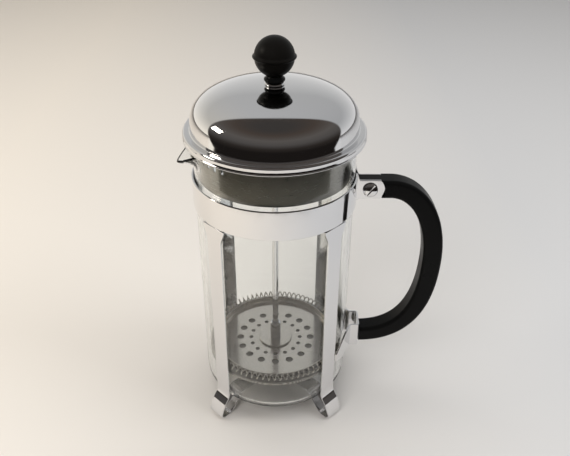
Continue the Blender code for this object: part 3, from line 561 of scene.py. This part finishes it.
def handle_stations():
    """Points along the handle's middle with half its depth at each."""
    top = Vector((70.0 * MM, 156.8 * MM, 0))
    grip = Vector((100.9 * MM, 104.5 * MM, 0))
    end = Vector((57.6 * MM, 42.5 * MM, 0))
    upper = (Vector((0.55 * (grip.x - top.x), 0, 0)), Vector((0, 0.61 * (top.y - grip.y), 0)))
    lower = (Vector((0, 0.72 * (end.y - grip.y), 0)), Vector((0.6 * (grip.x - end.x), 0, 0)))
    line = [Vector((49.9 * MM, top.y, 0)).lerp(top, i / 8) for i in range(8)]
    line += interpolate_bezier(top, top + upper[0], grip + upper[1], grip, 48)
    line += interpolate_bezier(grip, grip + lower[0], end + lower[1], end, 56)[1:]
    top_depth, grip_depth, end_depth = 11.8 * MM, 12.5 * MM, 11.0 * MM
    stations = []
    for point in line:
        rise = (point.y - grip.y) / (top.y - grip.y)
        fall = (grip.y - point.y) / (grip.y - end.y)
        depth = top_depth if rise > 0 else end_depth
        share = max(rise, fall, 0.0) ** 3
        stations.append(((point.x, point.y), (grip_depth + (depth - grip_depth) * share) / 2))
    return stations


def make_handle():
    """The grip: a rounded bar bent in a D, slimmed to a tongue between the ears."""
    width, tongue = 13.0 * MM, 6.0 * MM
    stations = handle_stations()
    shape = bmesh.new()
    rings = []
    across = width / 2
    for (point, side), (_, half) in zip(frames([p for p, _ in stations]), stations):
        corners = [(-half, -across), (half, -across), (half, across), (-half, across)]
        section = rounded(corners, 2.4 * MM, True, 7)
        rings.append([(point.x + side.x * u, point.y + side.y * u, v) for u, v in section])
    loft(shape, rings)
    handle = piece("d_handle", shape, "matte_black", "frame", "handle", UPRIGHT, 40)
    end_r, near, centre = 9.3 * MM, 47.6 * MM, 57.2 * MM
    straight = 0.95 * end_r
    swing = math.asin(straight / end_r)
    pocket = [(near, EAR_Z - straight)] + arc((centre, EAR_Z), end_r, -swing, swing, 40)
    pocket += [(near, EAR_Z + straight)]
    deep = 6.0 * MM
    for side in (-1, 1):
        at = Matrix.Translation((0, side * (tongue / 2 + deep / 2), 0))
        cut(handle, [pocket], deep, at @ UPRIGHT)


def make_clamp():
    """The slotted oval-head screw through the ears, with its washer and nut behind."""
    at = middle("clamp_screw") - AXIS
    front = Matrix.Translation((at.x, 0, at.z)) @ Matrix.Rotation(math.pi / 2, 4, "X")
    face = 4.5 * MM
    seat = face + 0.3 * MM
    head_r, head_h, head_edge, shank = 4.5 * MM, 2.2 * MM, 0.5 * MM, 2.0 * MM
    ease, bevel = 0.15 * MM, 0.4 * MM
    tip = -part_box("clamp_screw")[1].y
    profile = domed(head_r, head_edge - head_h, seat + head_h, 13)
    profile += [(head_r, seat + ease), (head_r - ease, seat), (shank, seat)]
    profile += [(shank, tip + bevel), (shank - bevel, tip), (0, tip)]
    screw = piece("slotted_screw", lathe(profile, 64, False), "chrome", "frame", "clamp_screw", front)
    wide, slot = 5.4 * MM, 0.6 * MM
    cut(screw, [[(-wide, -slot), (wide, -slot), (wide, slot), (-wide, slot)]], 2.2 * MM,
        front @ Matrix.Translation((0, 0, seat + head_h)) @ Matrix.Rotation(math.radians(52), 4, "Z"))
    low, washer_h, hole = -face - 0.3 * MM, 0.8 * MM, 2.3 * MM
    ring = [(head_r, low), (head_r, low - washer_h), (hole, low - washer_h), (hole, low)]
    ring = rounded(ring, 0.15 * MM, True, 3)
    piece("back_washer", lathe(ring, 64), "steel", "frame", "clamp_washer", front)
    nut_h = 3.0 * MM
    nut_z = low - washer_h - 0.3 * MM - nut_h / 2
    make_nut("back_nut", "clamp_nut", "chrome", "frame", 7.0 * MM, nut_h, hole,
             front @ Matrix.Translation((0, 0, nut_z)))


def make_nut(name, node, finish, body, across, height, bore, local):
    """A hexagon nut whose corners are turned off at both ends."""
    steps = 96
    half = height / 2
    shape = bmesh.new()
    rings = []
    angles = [FULL * i / steps for i in range(steps)]
    flats = []
    for a in angles:
        inside = (a + math.pi / 6) % (math.pi / 3) - math.pi / 6
        flats.append(across / 2 / math.cos(math.pi / 6 - abs(inside)))
    for radius, z in ((bore, -half), (bore + 0.3 * MM, -half), (across * 0.49, -half)):
        rings.append([(radius * math.cos(a), radius * math.sin(a), z) for a in angles])
    for sign in (-1, 1):
        drops = [0.05 * MM + 0.6 * max(0.0, flat - across / 2) for flat in flats]
        rings.append([(flat * math.cos(a), flat * math.sin(a), sign * (half - drop))
                      for flat, a, drop in zip(flats, angles, drops)])
    for radius, z in ((across * 0.49, half), (bore + 0.3 * MM, half), (bore, half)):
        rings.append([(radius * math.cos(a), radius * math.sin(a), z) for a in angles])
    loft(shape, rings, wrap=True)
    piece(name, shape, finish, body, node, local)


def make_end_screw():
    """The pan-head screw inside the strap, into the handle's end."""
    low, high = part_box("handle_end_screw")
    length = high.x - low.x
    start = low.x - AXIS.x
    head_r, head_h, shank = 3.2 * MM, 1.6 * MM, 1.6 * MM
    profile = domed(head_r, head_h, 0.0)
    profile += [(shank, head_h), (shank, length - 3 * MM), (shank / 2, length - 1 * MM), (0, length)]
    at = Vector((start, 0, middle("handle_end_screw").z))
    local = Matrix.Translation(at) @ Matrix.Rotation(math.pi / 2, 4, "Y")
    piece("end_screw", lathe(profile, 48, False), "steel", "frame", "handle_end_screw", local)


# Lid


def make_dome():
    """The polished lid: a full dome, a coved flange with a soft bead, and a rolled skirt edge."""
    low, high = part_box("lid_dome")
    sheet, radius = 0.7 * MM, GLASS_R + 0.65 * MM
    base, flange = RIM_Z + 5.5 * MM, RIM_Z + 3.8 * MM
    rim_r = (high.x - low.x) / 2
    hole = BUSH_R + 0.35 * MM

    def crown(share):
        return base + 23.4 * MM * (1 - share**2.4) ** 0.36

    shares = [hole / radius + (0.9999 - hole / radius) * math.sin(math.pi / 2 * i / 56) for i in range(57)]
    outside = [(radius * s, crown(s)) for s in shares]
    cove = [outside[-1], (radius + 0.15 * MM, flange + 0.15 * MM), (radius + 1.1 * MM, flange + 0.05 * MM)]
    outside += rounded(cove, 0.6 * MM, False, 6)[1:]
    outside += arc((rim_r - 1.5 * MM, flange - 1.45 * MM), 1.5 * MM, math.pi * 0.55, 0, 9)
    outside += [(rim_r - 0.35 * MM, flange - 2.2 * MM), (rim_r - 0.35 * MM, low.z + 1.25 * MM)]
    bead = arc((rim_r - 0.6 * MM, low.z + 0.6 * MM), 0.6 * MM, math.radians(60), -math.pi, 12)
    inside = [(rim_r - 1.2 * MM, low.z + 1.5 * MM), (rim_r - 1.2 * MM, flange - 1.6 * MM)]
    inside += arc((rim_r - 2.0 * MM, flange - 1.5 * MM), 0.8 * MM, 0, math.pi / 2, 5)
    inside += [(radius - sheet + 0.4 * MM, flange - sheet)]
    inside += [(max(radius * s - sheet * s**3, hole), crown(s) - sheet * (1.15 if s < 0.97 else 1.0))
               for s in reversed(shares[:-3])]
    piece("chromed_dome", lathe(outside + bead + inside, 224), "dome", "lid", "lid_dome", sharp=50)


def make_liner():
    """The brushed liner that hangs on the rim, with its pouring slots and a rolled lower edge."""
    low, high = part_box("lid_liner")
    sheet, inner_r = 0.6 * MM, 45.2 * MM
    lip_r = (high.x - low.x) / 2
    seat = RIM_Z + 0.3 * MM
    top = high.z
    step_r = 49.2 * MM
    outside = [(lip_r, top), (lip_r, top - sheet)]
    outside += [(step_r + 0.6 * MM, top - sheet), (step_r, seat + 0.6 * MM), (step_r - 0.4 * MM, seat)]
    outside += [(inner_r + 0.8 * MM, seat), (inner_r, seat - 0.8 * MM), (inner_r, low.z + 0.6 * MM)]
    outside += [(inner_r - 0.2 * MM, low.z), (inner_r - sheet - 0.15 * MM, low.z)]
    inside = [(inner_r - sheet, low.z + 0.6 * MM), (inner_r - sheet, seat - 0.6 * MM)]
    inside += [(inner_r - 0.2 * MM, seat + sheet), (step_r - 1.0 * MM, seat + sheet)]
    inside += [(step_r - 0.4 * MM, top)]
    radii = [0.15 * MM] * 2 + [0.5 * MM] * 5 + [0.1 * MM] * 3 + [0.1 * MM] + [0.5 * MM] * 4
    liner = piece("lid_liner_strainer", lathe(rounded(outside + inside, radii, True, 4), 200), "liner", "lid",
                  "lid_liner", sharp=40)
    slots, step, slot_z = 9, math.radians(7.0), RIM_Z - 6.0 * MM
    half_w, half_h = 1.2 * MM, 3 * MM
    corners = [(half_w, -half_h), (half_w, half_h), (-half_w, half_h), (-half_w, -half_h)]
    outline = rounded(corners, 0.6 * MM, True, 4)
    for i in range(slots):
        turn = Matrix.Rotation(SPOUT_ANGLE + (i - slots // 2) * step, 4, "Z")
        at = Matrix.Translation((inner_r, 0, slot_z)) @ Matrix.Rotation(math.pi / 2, 4, "Z")
        cut(liner, [outline], 6 * MM, turn @ at @ UPRIGHT)


def make_bridge():
    """The bar that carries the lower guide, with its welded ends turned down."""
    thick = 0.8 * MM
    reach = math.sqrt((44.6 * MM) ** 2 - (5 * MM) ** 2) - 1.0 * MM
    z = 177.5 * MM
    path = rounded([(-reach, z - 5 * MM), (-reach, z), (reach, z), (reach, z - 5 * MM)], 1.2 * MM, False, 7)
    path = even(path, 2 * MM)
    size = len(path)
    shape = strip(path, thick, [-5 * MM] * size, [5 * MM] * size, 0.2 * MM)
    bridge = piece("guide_bar", shape, "steel", "lid", "guide_bridge", UPRIGHT)
    cut(bridge, [circle(0, 0, BUSH_R + 0.35 * MM, 40)], 4 * MM, Matrix.Translation((0, 0, z)))


def make_bushes():
    """The two guides the rod slides in."""
    low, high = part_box("rod_guide")
    flange_r = 5.6 * MM
    flange = high.z - 1.2 * MM
    guide = [(flange_r, high.z), (flange_r, flange), (BUSH_R, flange), (BUSH_R, low.z)]
    guide += [(SLIDE_R, low.z), (SLIDE_R, high.z)]
    piece("lower_rod_guide", lathe(rounded(guide, 0.25 * MM, True, 4), 64), "brass", "lid", "rod_guide")
    low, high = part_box("dome_bush")
    flange = high.z - 1.1 * MM
    bush = [(flange_r - 0.4 * MM, high.z), (flange_r, high.z - 0.4 * MM), (flange_r, flange)]
    bush += [(BUSH_R, flange), (BUSH_R, low.z), (SLIDE_R, low.z), (SLIDE_R, high.z)]
    piece("dome_rod_bush", lathe(rounded(bush, 0.2 * MM, True, 4), 72), "chrome", "lid", "dome_bush")


# Plunger


def make_knob():
    """The ball knob with its moulded belt, the waisted collar and the threaded insert."""
    low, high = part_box("knob")
    radius, belt_r, belt = 11.25 * MM, 12.2 * MM, 0.8 * MM
    centre = high.z - radius
    neck_r, socket_r, neck_z = 4.8 * MM, 3.95 * MM, low.z
    lift = math.asin((belt + 0.5 * MM) / radius)
    turn = math.asin((neck_r + 0.8 * MM) / radius)
    profile = arc((0, centre), radius, math.pi / 2, lift, 40)
    profile += arc((belt_r - belt, centre), belt, math.radians(75), math.radians(-75), 9)
    profile += arc((0, centre), radius, -lift, -(math.pi / 2 - turn), 34)
    profile += [(neck_r + 0.1 * MM, neck_z + 0.9 * MM), (neck_r, neck_z + 0.2 * MM)]
    profile += [(neck_r - 0.2 * MM, neck_z), (socket_r, neck_z)]
    profile += [(socket_r, centre + 3 * MM), (0, centre + 4 * MM)]
    piece("ball_knob", lathe(profile, 160, False), "knob_black", "plunger", "knob", sharp=40)
    low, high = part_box("knob_insert")
    insert_r = socket_r - 0.3 * MM
    ring = [(insert_r, high.z), (insert_r, low.z), (BORE_R, low.z), (BORE_R, high.z)]
    piece("threaded_insert", lathe(rounded(ring, 0.2 * MM, True, 4), 64), "brass", "plunger", "knob_insert")
    low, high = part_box("knob_collar")
    tall = high.z - low.z
    ring = [(4.5 * MM, high.z), (4.75 * MM, low.z + 0.85 * tall), (5.95 * MM, low.z + 0.55 * tall),
            (6.0 * MM, low.z + 0.3 * tall), (5.3 * MM, low.z), (BORE_R, low.z), (BORE_R, high.z)]
    radii = [0.2 * MM, 0.8 * MM, 0.7 * MM, 0.7 * MM, 0.4 * MM, 0.1 * MM, 0.1 * MM]
    collar = lathe(rounded(ring, radii, True, 7), 96)
    piece("waisted_collar", collar, "gloss_black", "plunger", "knob_collar", sharp=45)


def make_rod():
    """The polished rod, its sleeve, and the washer that presses the filter down."""
    low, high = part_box("plunger_rod")
    rod = rounded([(0, high.z), (2 * MM, high.z), (2 * MM, low.z), (0, low.z)], 0.5 * MM, False, 4)
    piece("polished_rod", lathe(rod, 64, False), "chrome", "plunger", "plunger_rod")
    low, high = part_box("rod_ferrule")
    sleeve_r, slope = 3.7 * MM, 0.8 * MM
    section = [(BORE_R, high.z), (sleeve_r - slope, high.z), (sleeve_r, high.z - slope), (sleeve_r, low.z)]
    section += [(BORE_R, low.z)]
    sleeve = lathe(rounded(section, [0, 0.3 * MM, 0.5 * MM, 0.2 * MM, 0], True, 5), 96)
    piece("rod_sleeve", sleeve, "chrome", "plunger", "rod_ferrule")
    low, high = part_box("pressure_washer")
    washer_r, slope = 11.25 * MM, 0.3 * MM
    section = [(BORE_R, high.z), (washer_r - slope, high.z), (washer_r, high.z - slope), (washer_r, low.z)]
    section += [(BORE_R, low.z)]
    washer = lathe(rounded(section, [0, 0.3 * MM, 0.2 * MM, 0.1 * MM, 0], True, 5), 120)
    piece("wide_washer", washer, "plate", "filter", "pressure_washer")


# Filter


def make_plate():
    """The pressed plate: two rings of punched holes and a turned-up rim with a soft lip."""
    low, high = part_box("filter_plate")
    sheet, rim_r = 0.8 * MM, (high.x - low.x) / 2
    face = low.z + sheet
    section = [(BORE_R, face), (rim_r - sheet, face), (rim_r - sheet, high.z), (rim_r, high.z)]
    section += [(rim_r, low.z), (BORE_R, low.z)]
    radii = [0.1 * MM, 1.0 * MM, 0.38 * MM, 0.38 * MM, 1.4 * MM, 0.1 * MM]
    shape = lathe(rounded(section, radii, True, 6), 200)
    plate = piece("pressed_filter_plate", shape, "plate", "filter", "filter_plate", sharp=40)
    holes, in_ring = [], 16
    for ring_r, hole_r in ((24.5 * MM, 2.4 * MM), (17.1 * MM, 1.4 * MM)):
        for i in range(in_ring):
            a = FULL * i / in_ring
            holes.append(circle(ring_r * math.cos(a), ring_r * math.sin(a), hole_r))
    cut(plate, holes, 4 * MM, Matrix.Translation((0, 0, face)))


def make_coil():
    """The wiping coil: fine round wire wound into one closed ring."""
    low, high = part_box("coil_spring")
    wire, turns, each, sides = 0.45 * MM, 76, 16, 8
    tube = (high.z - low.z) / 2 - wire
    ring_r = (high.x - low.x) / 2 - tube - wire
    centre = (low.z + high.z) / 2
    count = turns * each
    shape = bmesh.new()

    def along(i):
        around, wind = FULL * i / count, FULL * i / each
        r = ring_r + tube * math.cos(wind)
        return Vector((r * math.cos(around), r * math.sin(around), centre + tube * math.sin(wind)))

    rings = []
    for i in range(count):
        here = along(i)
        heading = (along(i + 1) - along(i - 1)).normalized()
        around = FULL * i / count
        hub = Vector((ring_r * math.cos(around), ring_r * math.sin(around), centre))
        out = (here - hub)
        out = (out - heading * out.dot(heading)).normalized()
        other = heading.cross(out)
        corners = [FULL * k / sides for k in range(sides)]
        rings.append([tuple(here + wire * (out * math.cos(a) + other * math.sin(a))) for a in corners])
    loft(shape, rings, wrap=True)
    piece("wiper_coil", shape, "wire", "filter", "coil_spring", sharp=80)


def make_mesh_and_cross():
    """The woven disc with its folded rim, the spoked plate under it and the nut that holds them."""
    low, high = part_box("mesh_filter")
    rim_r = (high.x - low.x) / 2
    face = low.z + 0.5 * MM
    fold_r = 41.0 * MM
    section = [(BORE_R, face), (fold_r, face), (fold_r, high.z), (rim_r, high.z), (rim_r, low.z)]
    section += [(BORE_R, low.z)]
    radii = [0.05 * MM, 0.3 * MM, 0.7 * MM, 0.9 * MM, 0.9 * MM, 0.05 * MM]
    shape = lathe(rounded(section, radii, True, 6), 200)
    piece("woven_filter", shape, "mesh", "filter", "mesh_filter", sharp=40)
    low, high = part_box("cross_plate")
    disc_r = (high.x - low.x) / 2
    section = [(BORE_R, high.z), (disc_r, high.z), (disc_r, low.z), (BORE_R, low.z)]
    shape = lathe(rounded(section, 0.25 * MM, True, 4), 160)
    cross = piece("spoked_plate", shape, "steel", "filter", "cross_plate")
    windows = []
    hub, rim, rib, spokes = 10 * MM, disc_r - 4 * MM, 6 * MM, 6
    for i in range(spokes):
        turn = FULL * (i + 0.5) / spokes
        outer = math.pi / spokes - math.asin(rib / 2 / rim)
        inner = math.pi / spokes - math.asin(rib / 2 / hub)
        outline = arc((0, 0), rim, turn - outer, turn + outer, 18)
        outline += arc((0, 0), hub, turn + inner, turn - inner, 6)
        windows.append(rounded(outline, 1.5 * MM, True, 3))
    cut(cross, windows, 4 * MM, Matrix.Translation((0, 0, low.z)))
    at = middle("filter_nut")
    make_nut("filter_hex_nut", "filter_nut", "steel", "filter", 11.0 * MM, 4.2 * MM, BORE_R,
             Matrix.Translation((0, 0, at.z)))


# Studio


def glow(name, at, aim, size, watts, colour):
    """A soft rectangular light."""
    data = bpy.data.lights.new(name, "AREA")
    data.shape = "RECTANGLE"
    data.size, data.size_y = size
    data.energy = watts
    data.color = colour
    lamp = bpy.data.objects.new(name, data)
    bpy.context.scene.collection.objects.link(lamp)
    lamp.location = at
    lamp.rotation_euler = (Vector(aim) - Vector(at)).to_track_quat("-Z", "Y").to_euler()
    return lamp


def after_mirror(nodes, links):
    """1 once a ray has been thrown back by a shiny surface, else 0."""
    test = nodes.new("ShaderNodeMath")
    test.operation = "GREATER_THAN"
    test.inputs[1].default_value = 0.5
    links.new(nodes.new("ShaderNodeLightPath").outputs["Glossy Depth"], test.inputs[0])
    return test.outputs[0]


def painted_light_floor_material(name):
    """Pale paper with painted light: its colour runs from warm and bright on the left to darker grey on the
    right, standing in for warm lamp light on the left and shade on the right.
    """
    material, nodes, links, shader = new_material(name, (0.7, 0.7, 0.7), 0.85)
    shader.inputs["Specular IOR Level"].default_value = 0.1
    place = nodes.new("ShaderNodeTexCoord").outputs["Object"]
    split = nodes.new("ShaderNodeSeparateXYZ")
    links.new(place, split.inputs[0])
    share = spread(nodes, links, split.outputs["X"], 0.0, 1.0, -0.32, 0.25)
    # Painted light and shade: the base colour goes from warm bright on the left to darker grey on the right,
    # in place of the lamp light and shade that fall on the floor.
    mix = nodes.new("ShaderNodeMix")
    mix.data_type = "RGBA"
    mix.inputs[6].default_value = (0.80, 0.74, 0.66, 1)
    mix.inputs[7].default_value = (0.57, 0.57, 0.575, 1)
    links.new(share, mix.inputs[0])
    links.new(mix.outputs[2], shader.inputs["Base Color"])
    return material


def make_floor():
    """A wide floor whose colour carries painted light and shade. In front, only a circle round the object
    shows in mirror reflections.
    """
    paper, hidden = painted_light_floor_material("paper_painted_light"), painted_light_floor_material("pale_paper_front")
    nodes, links = hidden.node_tree.nodes, hidden.node_tree.links
    mix = nodes.new("ShaderNodeMixShader")
    links.new(after_mirror(nodes, links), mix.inputs["Fac"])
    links.new(nodes["Principled BSDF"].outputs[0], mix.inputs[1])
    links.new(nodes.new("ShaderNodeBsdfTransparent").outputs[0], mix.inputs[2])
    links.new(mix.outputs[0], nodes["Material Output"].inputs["Surface"])
    far, near, reach = 6.0, 0.02, 0.352
    curve = [(x, y + near, 0) for x, y in arc((0, 0), reach, -math.pi, 0, 49)]
    back = [(far, near, 0), (far, far, 0), (-far, far, 0), (-far, near, 0)]
    front = [(-far, near, 0), (-far, -far, 0), (far, -far, 0), (far, near, 0)]
    parts = (("floor", curve + back, paper), ("floor_front", curve[::-1] + front, hidden))
    for name, outline, finish in parts:
        mesh = bpy.data.meshes.new(name)
        mesh.from_pydata(outline, [], [list(range(len(outline)))])
        item = bpy.data.objects.new(name, mesh)
        bpy.context.scene.collection.objects.link(item)
        item.location = (AXIS.x, AXIS.y, 0)
        mesh.materials.append(finish)


def make_world():
    """A pale backdrop behind the object and a dim room in front of it, with plain pale for the camera."""
    world = bpy.data.worlds.new("studio")
    bpy.context.scene.world = world
    world.use_nodes = True
    nodes, links = world.node_tree.nodes, world.node_tree.links
    nodes.clear()

    def ramp(value, stops):
        node = nodes.new("ShaderNodeValToRGB")
        elements = node.color_ramp.elements
        elements[0].position, elements[0].color = stops[0][0], (*stops[0][1], 1)
        elements[1].position, elements[1].color = stops[1][0], (*stops[1][1], 1)
        for at, colour in stops[2:]:
            elements.new(at).color = (*colour, 1)
        links.new(value, node.inputs["Fac"])
        return node.outputs["Color"]

    split = nodes.new("ShaderNodeSeparateXYZ")
    links.new(nodes.new("ShaderNodeTexCoord").outputs["Generated"], split.inputs[0])
    height = spread(nodes, links, split.outputs["Z"], 0.0, 1.0, -1.0, 1.0)
    across = spread(nodes, links, split.outputs["X"], 0.0, 1.0, -1.0, 1.0)
    room = ramp(height, [
        (0.40, (0.012, 0.010, 0.009)),
        (0.52, (0.03, 0.025, 0.022)),
        (0.66, (0.085, 0.078, 0.074)),
        (0.80, (0.11, 0.10, 0.092)),
        (0.93, (0.07, 0.055, 0.046)),
        (0.99, (0.05, 0.045, 0.042)),
    ])
    back = ramp(height, [(0.5, (0.85, 0.84, 0.82)), (0.75, (0.48, 0.48, 0.475)), (0.97, (0.50, 0.50, 0.50))])
    tint = ramp(across, [(0.0, (1.25, 1.18, 1.05)), (0.4, (1.0, 1.0, 1.0)), (1.0, (0.85, 0.86, 0.88))])
    warm = nodes.new("ShaderNodeMix")
    warm.data_type = "RGBA"
    warm.blend_type = "MULTIPLY"
    warm.inputs[0].default_value = 1.0
    links.new(back, warm.inputs[6])
    links.new(tint, warm.inputs[7])
    slant = nodes.new("ShaderNodeMath")
    slant.operation = "MULTIPLY_ADD"
    slant.inputs[1].default_value = -0.33
    links.new(split.outputs["Z"], slant.inputs[0])
    links.new(split.outputs["Y"], slant.inputs[2])
    share = spread(nodes, links, slant.outputs[0], 0.0, 1.0, 0.04, 0.08)
    mix = nodes.new("ShaderNodeMix")
    mix.data_type = "RGBA"
    links.new(share, mix.inputs[0])
    links.new(room, mix.inputs[6])
    links.new(warm.outputs[2], mix.inputs[7])
    lit = nodes.new("ShaderNodeBackground")
    lit.inputs["Strength"].default_value = 1.0
    links.new(mix.outputs[2], lit.inputs["Color"])
    plain = nodes.new("ShaderNodeBackground")
    plain.inputs["Color"].default_value = (0.62, 0.61, 0.59, 1)
    path = nodes.new("ShaderNodeLightPath")
    through = nodes.new("ShaderNodeMath")
    through.operation = "SUBTRACT"
    through.use_clamp = True
    links.new(path.outputs["Is Transmission Ray"], through.inputs[0])
    links.new(after_mirror(nodes, links), through.inputs[1])
    seen = nodes.new("ShaderNodeMath")
    seen.operation = "MAXIMUM"
    links.new(path.outputs["Is Camera Ray"], seen.inputs[0])
    links.new(through.outputs[0], seen.inputs[1])
    shader = nodes.new("ShaderNodeMixShader")
    links.new(seen.outputs[0], shader.inputs["Fac"])
    links.new(lit.outputs[0], shader.inputs[1])
    links.new(plain.outputs[0], shader.inputs[2])
    links.new(shader.outputs[0], nodes.new("ShaderNodeOutputWorld").inputs["Surface"])


def make_camera():
    """The camera at the photograph's viewing angle."""
    data = bpy.data.cameras.new("camera")
    data.sensor_width = 36.0
    data.lens = 41.72
    data.clip_start = 0.01
    camera = bpy.data.objects.new("camera", data)
    bpy.context.scene.collection.objects.link(camera)
    right = Vector((0.999976, -0.005013, 0.004794))
    up = Vector((-0.001347, 0.537686, 0.843144))
    back = right.cross(up)
    turn = Matrix((right, up, back)).transposed().to_4x4()
    camera.matrix_world = Matrix.Translation(AXIS + Vector((3.386, -351.802, 350.61)) * MM) @ turn
    bpy.context.scene.camera = camera


make_beaker()
make_band()
make_leg("leg_strip_left", 0.0)
make_leg("leg_strip_right", 1.5 * MM)
make_rivet()
make_handle()
make_clamp()
make_strap()
make_end_screw()
make_dome()
make_liner()
make_bridge()
make_bushes()
make_knob()
make_rod()
make_plate()
make_coil()
make_mesh_and_cross()
for item in list(bpy.context.scene.objects):
    if item.type == "MESH" and item.name not in CAD_NAMES:
        steady(item)

make_floor()
make_world()
key = glow("key_from_right", (1.05, -0.25, 0.95), (0, 0, 0.08), (0.7, 0.7), 6.5, (0.94, 0.97, 1.0))
lamp_left = glow("lamp_from_left", (-1.15, -0.05, 0.80), (0, 0, 0.1), (0.35, 0.22), 2.6, (1.0, 0.93, 0.82))
lamp_left.visible_transmission = False
overhead = glow("overhead", (0.0, 0.25, 1.7), (0, 0, 0.1), (2.4, 1.8), 21.0, (1.0, 0.99, 0.97))
fill = glow("fill_from_front", (-0.55, -1.0, 1.0), (-0.1, -0.1, 0), (1.0, 0.8), 10.5, (1.0, 0.985, 0.97))
for lamp in (overhead, fill, key):
    lamp.visible_glossy = False
    lamp.visible_transmission = False
make_camera()

scene = bpy.context.scene
scene.view_settings.view_transform = "Standard"
